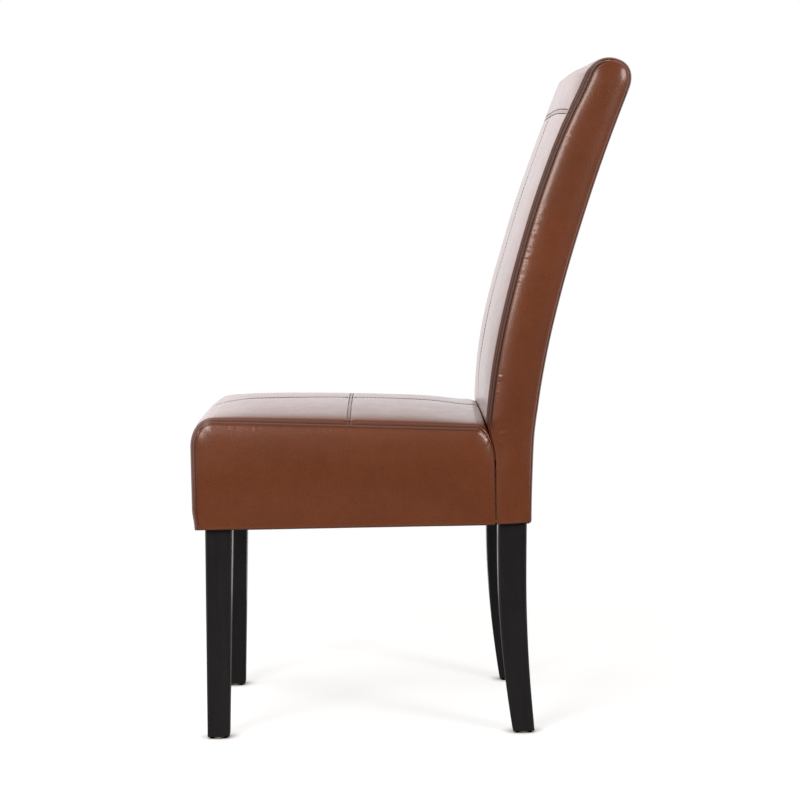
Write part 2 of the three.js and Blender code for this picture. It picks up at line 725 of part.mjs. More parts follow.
// The two rounded corners over the posts' tops
const topAlong = postAlong(1);
const overTop = (across, rise) => beside(1, across).add(topAlong.clone().multiplyScalar(rise));
function topCorner(centreAcross, radius, fromAngle) {
  const centre = overTop(centreAcross, topPad - radius);
  const rearward = new THREE.Vector2(topAlong.y, -topAlong.x);
  for (let i = 0; i <= arcSteps; i += 1) {
    const angle = fromAngle + Math.PI / 2 * i / arcSteps;
    const point = centre.clone()
      .addScaledVector(rearward, -Math.cos(angle) * radius)
      .addScaledVector(topAlong, Math.sin(angle) * radius);
    const frontLift = backCrown * backShareAt(2, 1) * Math.max(Math.cos(angle), 0) ** 2;
    const lift = topAlong.clone().multiplyScalar(topCrown * Math.sin(angle))
      .addScaledVector(rearward, -frontLift);
    backStations.push(station(point, lift, { middle: 0 }));
  }
}
topCorner(frontOffset(1) + topFrontRadius, topFrontRadius, 0);
topCorner(rearOffset(1) - topRearRadius, topRearRadius, Math.PI / 2);
const topEnd = backStations.length;
// The lowest row is cut level
const level = (turn, point) => (turn === bottomTurn ? new THREE.Vector2(point.x, upholsteryBottom) : point);
for (const turn of [...backTurns].reverse()) {
  backStations.push(station(level(turn, beside(turn, rearOffset(turn))), still, plain));
}

for (const [name, side] of sides) {
  add(`back_front_${name}_panel`, panel(backStations.slice(0, backPanelEnd), panelAcross(side)), hide);
}
add('back_top_and_rear_panel', panel(backStations.slice(backPanelEnd), wholeAcross), hide);

// Front foam: over the webbing, and over the top to the rear corner
const webFace = clearance + strapThickness + strapSlack;
const foamFirst = 1;
const foamStations = backStations.slice(foamFirst, topEnd);
const backFoamFace = skin(foamStations, foamAcross, leather + clearance);
const backFoamHeights = [
  ...lowerHeights, besideSeam(-seamEdge), besideSeam(seamEdge), ...upperHeights,
].slice(foamFirst);
const postTopFront = overTop(-halfPost(1) - webFace, clearance);
const postTopRear = overTop(rearOffset(1) - leather - clearance, clearance);
const backFoamBack = backFoamFace.map((row, i) => {
  const height = backFoamHeights[i];
  const over = (i - backFoamHeights.length + 1) / (backFoamFace.length - backFoamHeights.length);
  const point = height < 1
    ? beside(turnAt(height), -halfPost(turnAt(height)) - webFace)
    : postTopFront.clone().lerp(postTopRear, over);
  return row.map(({ x }) => new THREE.Vector3(x, point.x, point.y));
});
add('back_front_foam', gridSolid(backFoamFace, backFoamBack), foam);

// A sheet that follows the posts' curve between two distances from their middle line
const paddingTurns = [railBottom / postHeight, ...backTurns.slice(1)];
function curvedSheet(turns, x0, x1, near, far) {
  const corner = (x, turn, offset) => {
    const { x: y, y: z } = beside(turn, offset);
    return new THREE.Vector3(x, y, turn === paddingTurns[0] ? railBottom : z);
  };
  return ringSolid(turns.map((turn) => [
    corner(x0, turn, near(turn)), corner(x1, turn, near(turn)),
    corner(x1, turn, far(turn)), corner(x0, turn, far(turn)),
  ]));
}

add('back_rear_padding', curvedSheet(paddingTurns, -halfInside, halfInside,
  (turn) => halfPost(turn) + clearance, (turn) => rearOffset(turn) - leather - clearance), wadding);
for (const [name, side] of sides) {
  add(`back_${name}_padding`, curvedSheet(paddingTurns, side * (halfFrame + clearance), side * halfInside,
    (turn) => -halfPost(turn), (turn) => halfPost(turn)), wadding);
}

// Webbing straps across the fronts of the posts
const strapHalfTurn = strapHeight / postHeight / 2;
strapShares.forEach((share, i) => {
  const turn = turnAt(share);
  add(`back_webbing_strap_${i + 1}`, curvedSheet([turn - strapHalfTurn, turn, turn + strapHalfTurn],
    -halfFrame, halfFrame, (at) => -halfPost(at) - clearance - strapThickness,
    (at) => -halfPost(at) - clearance), webbing);
});

const rimPoint = (turn, offset) => level(turn, beside(turn, offset));
const backPanelRows = backRows.map(([height]) => {
  const turn = turnAt(height);
  const front = height < padBottom ? -halfPost(turn) : frontOffset(height) + rimInset;
  return [rimPoint(turn, front), rimPoint(turn, rearOffset(turn) - rimInset)];
});
for (let i = 0; i <= arcSteps; i += 1) {
  const angle = Math.PI / 2 * i / arcSteps;
  const corner = (face, radius, way) => overTop(
    face + way * (radius - (radius - rimInset) * Math.cos(angle)),
    topPad - radius + (radius - rimInset) * Math.sin(angle));
  backPanelRows.push([
    corner(frontOffset(1), topFrontRadius, 1), corner(rearOffset(1), topRearRadius, -1),
  ]);
}
for (const [name, side] of sides) {
  add(`back_${name}_side_panel`, sidePanel(side, backPanelRows), hide);
}

// Dust covers under the seat box and under the back, cut out round the legs

const dustBottom = upholsteryBottom + dustRecess;
function dustSheet(y0, y1, legY0, legY1) {
  const legs = sides.map(([, side]) => boxBetween(side * (legInner - clearance),
    side * (halfFrame + clearance), legY0 - clearance, legY1 + clearance,
    dustBottom - cutOverrun, dustBottom + dustCover + cutOverrun));
  return cut(boxBetween(-halfInside, halfInside, y0, y1, dustBottom, dustBottom + dustCover), legs);
}
add('seat_dust_cover', dustSheet(seatFront + rimInset, boxInsideRear, 0, legSize), cambric);

const postFront = postFrontAt(upholsteryBottom);
add('back_dust_cover', dustSheet(postFront + clearance, postFront + postDepth + rearPadding,
  postFront, postFront + postDepth), cambric);

// The origin lies on the floor under the middle of the chair
const extent = new THREE.Box3().setFromObject(chair);
chair.position.y = -(extent.min.y + extent.max.y) / 2;

export default chair;
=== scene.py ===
"""A parsons dining chair in brown leather on black legs: its looks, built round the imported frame.

Lengths are millimetres until a mesh is made, and metres in the camera, the lamps and the materials.
The sitter faces -Y, +X is the sitter's left and +Z is up.
Along Y the shapes are worked out from the front face of the front legs, as in the frame's source."""
import math

import bpy
import numpy as np
from mathutils import Matrix, Vector


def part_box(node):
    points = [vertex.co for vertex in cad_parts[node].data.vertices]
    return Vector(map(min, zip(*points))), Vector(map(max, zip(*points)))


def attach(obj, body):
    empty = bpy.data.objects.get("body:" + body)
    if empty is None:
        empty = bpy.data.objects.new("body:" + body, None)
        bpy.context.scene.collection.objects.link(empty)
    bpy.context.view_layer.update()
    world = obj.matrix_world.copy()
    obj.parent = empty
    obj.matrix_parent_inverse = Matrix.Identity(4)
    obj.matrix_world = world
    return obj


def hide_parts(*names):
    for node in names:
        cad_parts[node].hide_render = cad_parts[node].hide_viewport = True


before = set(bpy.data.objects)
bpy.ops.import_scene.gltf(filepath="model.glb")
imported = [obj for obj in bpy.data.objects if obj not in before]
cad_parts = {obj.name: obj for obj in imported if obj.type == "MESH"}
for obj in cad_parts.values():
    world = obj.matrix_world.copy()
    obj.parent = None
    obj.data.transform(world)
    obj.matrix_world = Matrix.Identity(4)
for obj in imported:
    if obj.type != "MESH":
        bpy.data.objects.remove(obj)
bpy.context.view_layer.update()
scene = bpy.context.scene
scene.view_settings.view_transform = "Standard"
PI = math.pi
Y_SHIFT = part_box("left_front_leg")[0].y * 1000
SIDES = (("left", 1), ("right", -1))

# Sizes of the upholstery, with half widths from the chair's middle
HALF_FRAME = 216.7
HALF_WIDTH = 228.9
SEAT_REAR = 434.3
BOTTOM = 315.0
LEATHER = 1.8
POST_HEIGHT = 960.0
# How the posts stand back of the line through their feet, at equal steps of height
POST_SETBACK = 158
SETBACKS = POST_SETBACK * np.array([.16, .09, .032, .003, .005, .027, .075, .187, .346, .539, .756, 1, 1.26])
# The posts' depth under the seat and at the top, and the play between the rear rail and the posts
POST_DEPTH_LOW, POST_DEPTH_TOP = 42.5, 31
POST_PLAY = 0.3

# Heights between which the seat's front leans in, the back's front leaves the seat, its edge becomes round,
# its rows of stitches start, and its rear starts to swell
LEAN_HEIGHTS = (345, 319)
LEAVE_HEIGHTS = (425, 460)
ROUND_HEIGHTS = (425, 475)
ROW_HEIGHTS = (440, 470)
REAR_SWELL_HEIGHTS = (440, 500)
# Shares of the turn over the seat's rear, and of the height of the back's rear, between which the swell ends
TUCK_SHARES = (.3, .85)
REAR_CROWN_SHARES = (.33, .5)
# The height share where the back's front foam starts
BACK_START_SHARE = 0.39

# The fold of the cover under the rails, the hem past it and the rear's larger fold
FOLD = 4.0
HEM = 6.6
REAR_FOLD = 6
# Radius of an edge that is sewn with rows, of the top's edge, down the rear, of a plain edge and at a fold
ROUND_EDGE = 8.5
TOP_EDGE = 7.5
REAR_EDGE = 6.0
PLAIN_EDGE = 1.1
FOLD_EDGE = 5

# The seat: its front face, how far it leans in at the foot, its top, and the half axes of its rounded ends
SEAT_FRONT = -13.8
FRONT_LEAN = 2.6
SEAT_TOP, SEAT_TOP_REAR = 480.5, 463.0
SEAT_ARC = np.array([31.0, 43.0])
TUCK = np.array([27.3, 53.0])
TUCK_END = SEAT_TOP_REAR - TUCK[1]
SEAT_CROSS_Y = 220
# How far the middle of the seat's front swells, and the middle of its front edge
FRONT_SWELL = 2.4
EDGE_SWELL = 4.5
# Share of the front's swell: Z, share
FRONT_SWELL_SHARES = np.array([(319, .15), (351, .8), (399, 1), (470, 1)])
# The swell of the seat's middle along its top: Y, height
SEAT_SWELL = np.array([
    (12, 4.3), (32, 9.1), (67, 14.4), (132, 17.7), (197, 19.7), (250, 20.5), (294, 20.4), (330, 19.8),
    (360, 17.8), (385, 15.0), (400, 13.9), (434.3, 13.9)])

# The back: its foam and the swell of its front, what lies behind the posts, and its top above the posts
BACK_PAD = 30.0
BACK_CROWN = 7.5
BACK_FOOT = 434.9
REAR_BUILD = 10.5
REAR_SWELL = 1.7
REAR_CROWN = 0.8
TOP_MIDDLE = -2.0
TOP_RISE = 36.6
TOP_FRONT_POWER, TOP_REAR_POWER = 2.1, 2.3
BACK_CROSS_Z = 919.5
# Up the back: Z, the front foam's share of its full thickness, the middle's share of its swell
BACK_ROWS = np.array([
    (315, 0, 0), (366.8, 0, 0), (415, .13, 0), (431, .3, .1), (451.8, .56, .25), (470, .74, .45),
    (500.3, .76, .95), (540.5, .81, 1.3), (589.7, .86, 1.42), (650.4, .91, 1.4), (715, .96, 1.2),
    (779.6, 1, 1.2), (840.2, .985, 1.22), (899.9, .9, 1.65), (934.2, .8, 2.15), (960, .75, 2.35)])
# The swell of the middle of the back's top: length from the start of the top's curve, height
TOP_SWELL = np.array([(0, 16.4), (4.5, 14.4), (9, 9.8), (14, 6.4), (17, 4.6), (27, 3), (50, 1.2), (200, .5)])
# The line where the seat's rear and the back's front touch: Z, Y. Both keep a gap to it below a height
TOUCH = np.array([
    (300, 434.6), (405, 434.6), (422, 433.8), (437, 430.6), (449, 426.4), (461, 422.8), (471, 420.5),
    (485, 418), (600, 418)])
TOUCH_TOP = 476
TOUCH_GAP = 0.4
FOAM_GAP = 2.6

# Side panels: how far they roll out just past the edge, over what length, and where they start to do so
EDGE_ROLL = 5.3
ROLL_REACH = 9
ROLL_START = 2
SWELL_LOW, SWELL_HIGH = 306, 420
# The point round which the folds at the seat's rear top corner fan out: Y, Z
PINCH = (432, 450)

# Seams: the stitch length, and the distance from a join to its row of stitches
PITCH = 6.0
EDGE_REACH = 4.4
SEAT_SEAM_REACH = 2.3
BACK_SEAM_REACH = 3.3
JOIN_GAP = 0.1
# How far round a rounded edge its join lies, from the middle panels' side, in radians
JOIN_TURN = 0.955
JOIN_INSET = 1 - math.cos(JOIN_TURN)
# Depth and width of the dip at a join, of the one at a row and of the hollow that its thread draws round it
JOIN_DIP, JOIN_WIDTH = 0.95, 0.5
ROW_DIP, ROW_WIDTH = 0.85, 1.05
HOLLOW_DIP, HOLLOW_WIDTH = 0.4, 1.8
# How far the turned-in edge stands up between them
TURNED_RISE = 0.42
# The puckers past a row: height, distance from the row, width
HOLE_PUCKER = (0.22, 3, 2.4)
FINE_PUCKER = (0.24, 4.5, 4)
BROAD_PUCKER = (0.26, 5, 4.5)
# How strongly the middle seam and the cross seam show, and how deep and wide the padding sinks under them
MIDDLE_RELIEF = 0.5
CROSS_RELIEF, CROSS_SHADE = 0.3, 0.24
SEAM_SINK, SINK_WIDTH = 0.7, 9
# The gentle waves of the middle panels and of the side panels: height, size, distance from an edge to be full
WRAP_WAVE = (0.35, 34, 40)
SIDE_WAVE = (0.45, 30, 40)


# Camera and studio

# The photograph's camera: its place, its yaw, pitch and roll in radians, its lens and sensor in millimetres
CAMERA_PLACE = (3.6593, -0.0410, 0.7687)
CAMERA_TURN = (0.0053, -0.0773, -0.0183)
CAMERA_LENS = 105.32
CAMERA_SENSOR = 36
VIEW_END = 100
# Strength of the room's light, and of what shines in the leather: behind the chair, in front of it, and the
# share that is added high up in front
ROOM_LIGHT = 0.48
ROOM_GLOSS_REAR = 1.25
ROOM_GLOSS_FRONT = 0.02
ROOM_GLOSS_RAISED = 0.6
ROOM_GLOSS_COLOUR = (1, 0.965, 0.985, 1)
LAMP_COLOUR = (1, 0.9, 0.84)
# Each lamp's place, the point that it faces, its width and height, and its watts
SOFTBOXES = {
    "key_softbox": ((2.4, -1.25, 1.6), (0, 0, 0.7), (1.2, 1.4), 58),
    "rear_softbox": ((2.2, 1.9, 1.5), (0, 0.1, 0.7), (0.7, 1.2), 40),
    "top_softbox": ((0.2, -1.2, 2.8), (0, 0, 0.5), (1.4, 1.4), 16),
}
# The floor: its radius, where its fade starts, the reach of the painted shadow by a foot, its glow there and
# elsewhere
FLOOR_RADIUS = 1.1
FLOOR_FADE = FLOOR_RADIUS * 0.6
PAINTED_SHADOW_REACH = 0.02
PAINTED_SHADOW_GLOW, FLOOR_GLOW = -0.12, 0.66
FLOOR_GREY = (0.5, 0.5, 0.5, 1)
# How bright the floor is to the chair, and how much darker in what shines in the leather
FLOOR_BOUNCE, FLOOR_GLOSS_LESS = 0.8, -0.45
WHITE = (1, 1, 1, 1)


def aim_camera():
    """The camera of the photograph: a long lens at seat height on the sitter's left."""
    yaw, pitch, roll = CAMERA_TURN
    ahead = np.array([-math.cos(pitch) * math.cos(yaw), math.cos(pitch) * math.sin(yaw), math.sin(pitch)])
    right = np.cross(ahead, (0, 0, 1))
    right /= np.linalg.norm(right)
    up = np.cross(right, ahead)
    side = right * math.cos(roll) + up * math.sin(roll)
    top = up * math.cos(roll) - right * math.sin(roll)
    data = bpy.data.cameras.new("camera")
    data.sensor_width = CAMERA_SENSOR
    data.lens = CAMERA_LENS
    data.clip_end = VIEW_END
    camera = bpy.data.objects.new("camera", data)
    scene.collection.objects.link(camera)
    turn = Matrix((side, top, -ahead)).transposed().to_4x4()
    camera.matrix_world = Matrix.Translation(CAMERA_PLACE) @ turn
    scene.camera = camera


def blank(owner):
    """The empty shader tree of a material or of the world."""
    owner.use_nodes = True
    owner.node_tree.nodes.clear()
    return owner.node_tree


def put(tree, kind, inputs=None, **settings):
    """One shader node with its settings. An input given as a socket is linked, and any other is set."""
    node = tree.nodes.new("ShaderNode" + kind)
    for key, value in settings.items():
        setattr(node, key, value)
    for key, value in (inputs or {}).items():
        socket = node.inputs[key]
        if isinstance(value, bpy.types.NodeSocket):
            tree.links.new(value, socket)
        else:
            socket.default_value = value
    return node


def plain(red, green, blue):
    """A colour of 0 to 255 steps as the shader takes it."""
    def linear(step):
        share = step / 255
        return share / 12.92 if share <= 0.04045 else ((share + 0.055) / 1.055) ** 2.4
    return (linear(red), linear(green), linear(blue), 1)


def math_node(tree, operation, a, b=0.0, c=0.0):
    return put(tree, "Math", {0: a, 1: b, 2: c}, operation=operation).outputs[0]


def scaled(tree, value, times, plus=0.0):
    return math_node(tree, "MULTIPLY_ADD", value, times, plus)


def ranged(tree, value, low=0.0, high=1.0, to_low=0.0, to_high=1.0, **settings):
    """A value moved from one range to another and held inside it."""
    return put(tree, "MapRange", {0: value, 1: low, 2: high, 3: to_low, 4: to_high}, **settings).outputs[0]


def seen(tree, *kinds):
    """1 where a ray is of one of these kinds."""
    rays = put(tree, "LightPath").outputs
    total = rays[kinds[0]]
    for kind in kinds[1:]:
        total = math_node(tree, "MAXIMUM", total, rays[kind])
    return total


def mixed(tree, share, first, second):
    """One shader where share is 0 and the other where it is 1."""
    return put(tree, "MixShader", {0: share, 1: first.outputs[0], 2: second.outputs[0]})


def light_studio():
    """White all round for the camera, softer light on the object, and a darker room in what shines."""
    scene.world = bpy.data.worlds.new("studio")
    tree = blank(scene.world)
    direction = put(tree, "TexCoord").outputs["Generated"]
    along, across, up = put(tree, "SeparateXYZ", {0: direction}).outputs
    dim = ranged(tree, along, 0.05, 0.7, ROOM_GLOSS_REAR, ROOM_GLOSS_FRONT, interpolation_type="SMOOTHSTEP")
    front = ranged(tree, across, -0.04, -0.25, interpolation_type="SMOOTHSTEP")
    raised = ranged(tree, up, 0.0, 0.25, 0.0, ROOM_GLOSS_RAISED)
    dim = math_node(tree, "MULTIPLY", dim, scaled(tree, front, raised, 1.0))
    soft = put(tree, "Background", {"Color": WHITE, "Strength": ROOM_LIGHT})
    gloss = put(tree, "Background", {"Color": ROOM_GLOSS_COLOUR, "Strength": dim})
    shown = put(tree, "Background", {"Color": WHITE, "Strength": 1})
    lit = mixed(tree, seen(tree, "Is Glossy Ray"), soft, gloss)
    last = mixed(tree, seen(tree, "Is Camera Ray", "Is Transmission Ray"), lit, shown)
    out = put(tree, "OutputWorld", {0: last.outputs[0]})
    out.is_active_output = True
    for name, (place, target, size, watts) in SOFTBOXES.items():
        data = bpy.data.lights.new(name, "AREA")
        data.shape = "RECTANGLE"
        data.size, data.size_y = size
        data.energy = watts
        data.color = LAMP_COLOUR
        lamp = bpy.data.objects.new(name, data)
        lamp.location = place
        lamp.rotation_mode = "QUATERNION"
        lamp.rotation_quaternion = (Vector(target) - Vector(place)).to_track_quat("-Z", "Y")
        scene.collection.objects.link(lamp)


def lay_floor():
    """A white floor that fades into the white round it.

    To the camera it is mostly even white, with a share that the shadow darkens, and its glow dimmed into a
    painted shadow by a foot."""
    material = bpy.data.materials.new("studio_floor")
    tree = blank(material)
    # Painted shadow: the glow drops where the chair is close, under the feet
    open_share = put(tree, "AmbientOcclusion", {"Distance": PAINTED_SHADOW_REACH}, samples=8).outputs["AO"]
    glow = ranged(tree, open_share, 0.0, 1.0, PAINTED_SHADOW_GLOW, FLOOR_GLOW)
    lit = put(tree, "BsdfDiffuse", {"Color": FLOOR_GREY})
    even = put(tree, "Emission", {"Color": WHITE, "Strength": glow})
    both = put(tree, "AddShader", {0: lit.outputs[0], 1: even.outputs[0]})
    white = put(tree, "Emission", {"Color": WHITE, "Strength": 1})
    place = put(tree, "TexCoord").outputs["Object"]
    far = put(tree, "VectorMath", {0: place}, operation="LENGTH").outputs["Value"]
    fade = ranged(tree, far, FLOOR_FADE, FLOOR_RADIUS, interpolation_type="SMOOTHSTEP")
    brightness = scaled(tree, seen(tree, "Is Glossy Ray"), FLOOR_GLOSS_LESS, FLOOR_BOUNCE)
    bounce = put(tree, "BsdfDiffuse", {"Color": brightness})
    faded = mixed(tree, fade, both, white)
    mix = mixed(tree, seen(tree, "Is Camera Ray", "Is Transmission Ray"), bounce, faded)
    put(tree, "OutputMaterial", {0: mix.outputs[0]})
    angles = np.linspace(0, 2 * PI, 96, endpoint=False)
    ring = FLOOR_RADIUS * np.stack([np.cos(angles), np.sin(angles), 0 * angles], -1)
    mesh = bpy.data.meshes.new("floor")
    mesh.from_pydata(ring.tolist(), [], [list(range(len(ring)))])
    mesh.materials.append(material)
    floor = bpy.data.objects.new("floor", mesh)
    scene.collection.objects.link(floor)


# Finishes

def shader_group(name, inputs, outputs):
    """An empty shader group with named float inputs and outputs, and its input and output nodes."""
    group = bpy.data.node_groups.new(name, "ShaderNodeTree")
    for label, value in inputs.items():
        socket = group.interface.new_socket(label, in_out="INPUT", socket_type="NodeSocketFloat")
        socket.default_value = value
    for label in outputs:
        group.interface.new_socket(label, in_out="OUTPUT", socket_type="NodeSocketFloat")
    return group, group.nodes.new("NodeGroupInput"), group.nodes.new("NodeGroupOutput")


def make_mottle():
    """Broad unevenness of a finish, about 0 to 1: noise of a given size with a finer one on it."""
    group, given, gives = shader_group("mottle", {"Size": 12.0, "Fine": 5.0}, ["Tone"])
    place = put(group, "TexCoord").outputs["Object"]
    broad = put(group, "TexNoise", {"Vector": place, "Scale": given.outputs["Size"], "Detail": 3})
    size = math_node(group, "MULTIPLY", given.outputs["Size"], given.outputs["Fine"])
    fine = put(group, "TexNoise", {"Vector": place, "Scale": size, "Detail": 4})
    both = scaled(group, fine.outputs[0], 0.35, math_node(group, "MULTIPLY", broad.outputs[0], 0.65))
    group.links.new(ranged(group, both, 0.32, 0.68), gives.inputs["Tone"])
    return group


def make_grain():
    """Leather grain: rounded pebbles of two sizes between fine creases, bent so that no row shows."""
    group, given, gives = shader_group("hide_grain", {"Cells": 620.0}, ["Height"])
    place = put(group, "TexCoord").outputs["Object"]
    warp = put(group, "TexNoise", {"Vector": place, "Scale": 90, "Detail": 2}).outputs["Color"]
    bent = put(group, "VectorMath", {0: warp, 1: (0.0035, 0.0035, 0.0035), 2: place},
               operation="MULTIPLY_ADD").outputs[0]

    def cells(feature, share=None):
        size = given.outputs["Cells"]
        size = size if share is None else math_node(group, "MULTIPLY", size, share)
        return put(group, "TexVoronoi", {"Vector": bent, "Scale": size}, feature=feature).outputs[0]
    groove = ranged(group, cells("DISTANCE_TO_EDGE", 0.42), 0.0, 0.12)
    height = scaled(group, cells("SMOOTH_F1"), -0.55, groove)
    group.links.new(scaled(group, cells("F1", 2.3), -0.3, height), gives.inputs["Height"])
    return group


def make_wood_grain():
    """Timber grain along one axis: long noise streaks with narrow pores."""
    group, given, gives = shader_group("wood_grain", {"Along": 8.0, "Across": 180.0}, ["Streak", "Height"])
    place = put(group, "TexCoord").outputs["Object"]
    scale = put(group, "CombineXYZ", {0: given.outputs["Across"], 1: given.outputs["Across"],
                                      2: given.outputs["Along"]}).outputs[0]
    long = put(group, "VectorMath", {0: place, 1: scale}, operation="MULTIPLY").outputs[0]
    streak = put(group, "TexNoise", {"Vector": long, "Scale": 1, "Detail": 5, "Distortion": 0.4}).outputs[0]
    pore = put(group, "TexNoise", {"Vector": long, "Scale": 4, "Detail": 2}).outputs[0]
    group.links.new(streak, gives.inputs["Streak"])
    group.links.new(scaled(group, ranged(group, pore, 0.3, 0.5), 0.5, streak), gives.inputs["Height"])
    return group


MOTTLE, GRAIN, WOOD_GRAIN = make_mottle(), make_grain(), make_wood_grain()


def grouped(tree, group, **values):
    """The outputs of a shader group with its inputs set."""
    node = tree.nodes.new("ShaderNodeGroup")
    node.node_tree = group
    for key, value in values.items():
        node.inputs[key].default_value = value
    return node.outputs


def mottled(tree, size, fine):
    return grouped(tree, MOTTLE, Size=size, Fine=fine)["Tone"]


def blend_colour(tree, share, first, second):
    """The first colour where share is 0 and the second where it is 1."""
    return put(tree, "Mix", {0: share, 6: first, 7: second}, data_type="RGBA").outputs[2]


def finish(name, colour, roughness, height, depth, **fixed):
    """A material. Each value is plain or made by a function of its tree. depth is the bump's, in metres."""
    material = bpy.data.materials.new(name)
    tree = blank(material)
    values = {"Base_Color": colour, "Roughness": roughness, **fixed}
    values = {label.replace("_", " "): value(tree) if callable(value) else value
              for label, value in values.items()}
    bump = put(tree, "Bump", {"Strength": 1, "Distance": depth, "Height": height(tree)})
    values["Normal"] = bump.outputs[0]
    shader = put(tree, "BsdfPrincipled", values)
    put(tree, "OutputMaterial", {0: shader.outputs[0]})
    return material


HIDE_TONES = plain(89, 44, 17), plain(99, 49, 21)
HIDE_PORE = plain(60, 30, 20)
# Painted shade: the dark laid into the leather's joins, stitch rows and turned-in bands
HIDE_PAINTED_SHADE = plain(26, 13, 9)
HIDE_CELLS = 620.0


def painted_seam_shade_of(tree):
    return put(tree, "Attribute", attribute_name="painted_seam_shade").outputs["Fac"]


def hide_colour(tree):
    """Brown of two tones with faint darker pores, and painted shade, darkest in the joins and stitch rows."""
    base = blend_colour(tree, mottled(tree, 9.0, 6.0), *HIDE_TONES)
    pores = grouped(tree, GRAIN, Cells=HIDE_CELLS)["Height"]
    base = blend_colour(tree, ranged(tree, pores, 0.1, 0.6), blend_colour(tree, 0.82, HIDE_PORE, base), base)
    return blend_colour(tree, painted_seam_shade_of(tree), base, HIDE_PAINTED_SHADE)


def hide_roughness(tree):
    return scaled(tree, painted_seam_shade_of(tree), 0.3, scaled(tree, mottled(tree, 38.0, 5.0), 0.1, 0.36))


def hide_coat(tree):
    return scaled(tree, painted_seam_shade_of(tree), -0.7, 0.75)


def hide_height(tree):
    return scaled(tree, mottled(tree, 45.0, 4.0), 0.8, grouped(tree, GRAIN, Cells=HIDE_CELLS)["Height"])


def two_tones(size, fine, first, second):
    return lambda tree: blend_colour(tree, mottled(tree, size, fine), first, second)


def varied(size, fine, low, span):
    return lambda tree: scaled(tree, mottled(tree, size, fine), span, low)


def streaked(along, across, first, second):
    """Two tones in streaks along the grain."""
    def colour(tree):
        streak = grouped(tree, WOOD_GRAIN, Along=along, Across=across)["Streak"]
        return blend_colour(tree, ranged(tree, streak, 0.3, 0.7), first, second)
    return colour


def wood_height(along, across):
    return lambda tree: grouped(tree, WOOD_GRAIN, Along=along, Across=across)["Height"]


def weave_height(scale):
    """Plain weave: the product of two square sets of waves in the piece's own map."""
    def height(tree):
        uv = put(tree, "UVMap", uv_map="cloth").outputs[0]
        over = put(tree, "TexWave", {"Vector": uv, "Scale": scale}, bands_direction="X").outputs["Fac"]
        under = put(tree, "TexWave", {"Vector": uv, "Scale": scale}, bands_direction="Y").outputs["Fac"]
        return math_node(tree, "MULTIPLY", over, under)
    return height


def fibre_height(cells):
    """Felted fibre: noise that is bent by itself."""
    def height(tree):
        settings = {"Vector": put(tree, "TexCoord").outputs["Object"], "Scale": cells, "Detail": 6}
        return put(tree, "TexNoise", {**settings, "Distortion": 1.5}).outputs[0]
    return height


FINISHES = {
    "cover_leather": finish("brown_leather", hide_colour, hide_roughness, hide_height, 0.00009, IOR=1.5,
                            Specular_IOR_Level=0.2, Coat_Weight=hide_coat, Coat_Roughness=0.22),
    "thread": finish("dark_thread", two_tones(900, 3, plain(30, 16, 11), plain(62, 36, 24)), 0.8,
                     fibre_height(2600), 0.0002),
    "leg_lacquer": finish("black_satin_lacquer", streaked(9, 150, plain(19, 19, 20), plain(24, 24, 25)),
                          varied(30, 6, 0.32, 0.1), wood_height(12, 420), 0.00004, Specular_IOR_Level=0.25),
    "frame_timber": finish("pine_timber", streaked(6, 90, plain(196, 158, 108), plain(224, 192, 146)),
                           varied(20, 5, 0.6, 0.15), wood_height(6, 200), 0.0002),
    "seat_plywood": finish("plywood", streaked(4, 60, plain(182, 146, 100), plain(205, 172, 126)),
                           varied(20, 5, 0.6, 0.15), wood_height(6, 160), 0.0002),
    "foam": finish("foam", two_tones(60, 4, plain(226, 212, 168), plain(238, 226, 186)), 0.9,
                   fibre_height(900), 0.0005),
    "wadding": finish("wadding", two_tones(40, 5, plain(228, 227, 220), plain(246, 245, 240)), 0.95,
                      fibre_height(500), 0.001),
    "webbing": finish("webbing", two_tones(50, 8, plain(58, 50, 43), plain(84, 73, 62)), 0.85,
                      weave_height(180), 0.0004),
    "dust_cloth": finish("dust_cloth", two_tones(70, 9, plain(22, 22, 23), plain(36, 36, 38)), 0.92,
                         fibre_height(800), 0.0003),
    "bolt_steel": finish("zinc_steel", two_tones(120, 5, plain(168, 172, 176), plain(196, 199, 202)),
                         varied(160, 5, 0.3, 0.2), fibre_height(700), 0.00004, Metallic=1.0),
    "glide_nylon": finish("nylon", two_tones(80, 5, plain(206, 202, 194), plain(222, 219, 212)),
                          varied(90, 5, 0.45, 0.15), fibre_height(900), 0.00005),
}


# Meshes

SHARP_TURN = 55


def joined(*parts):
    """Points from their coordinates, given as arrays or single values."""
    return np.stack(np.broadcast_arrays(*parts), -1)


def lengths(points):
    """The length along a line up to each of its points."""
    return np.concatenate([[0], np.cumsum(np.linalg.norm(np.diff(points, axis=0), axis=1))])


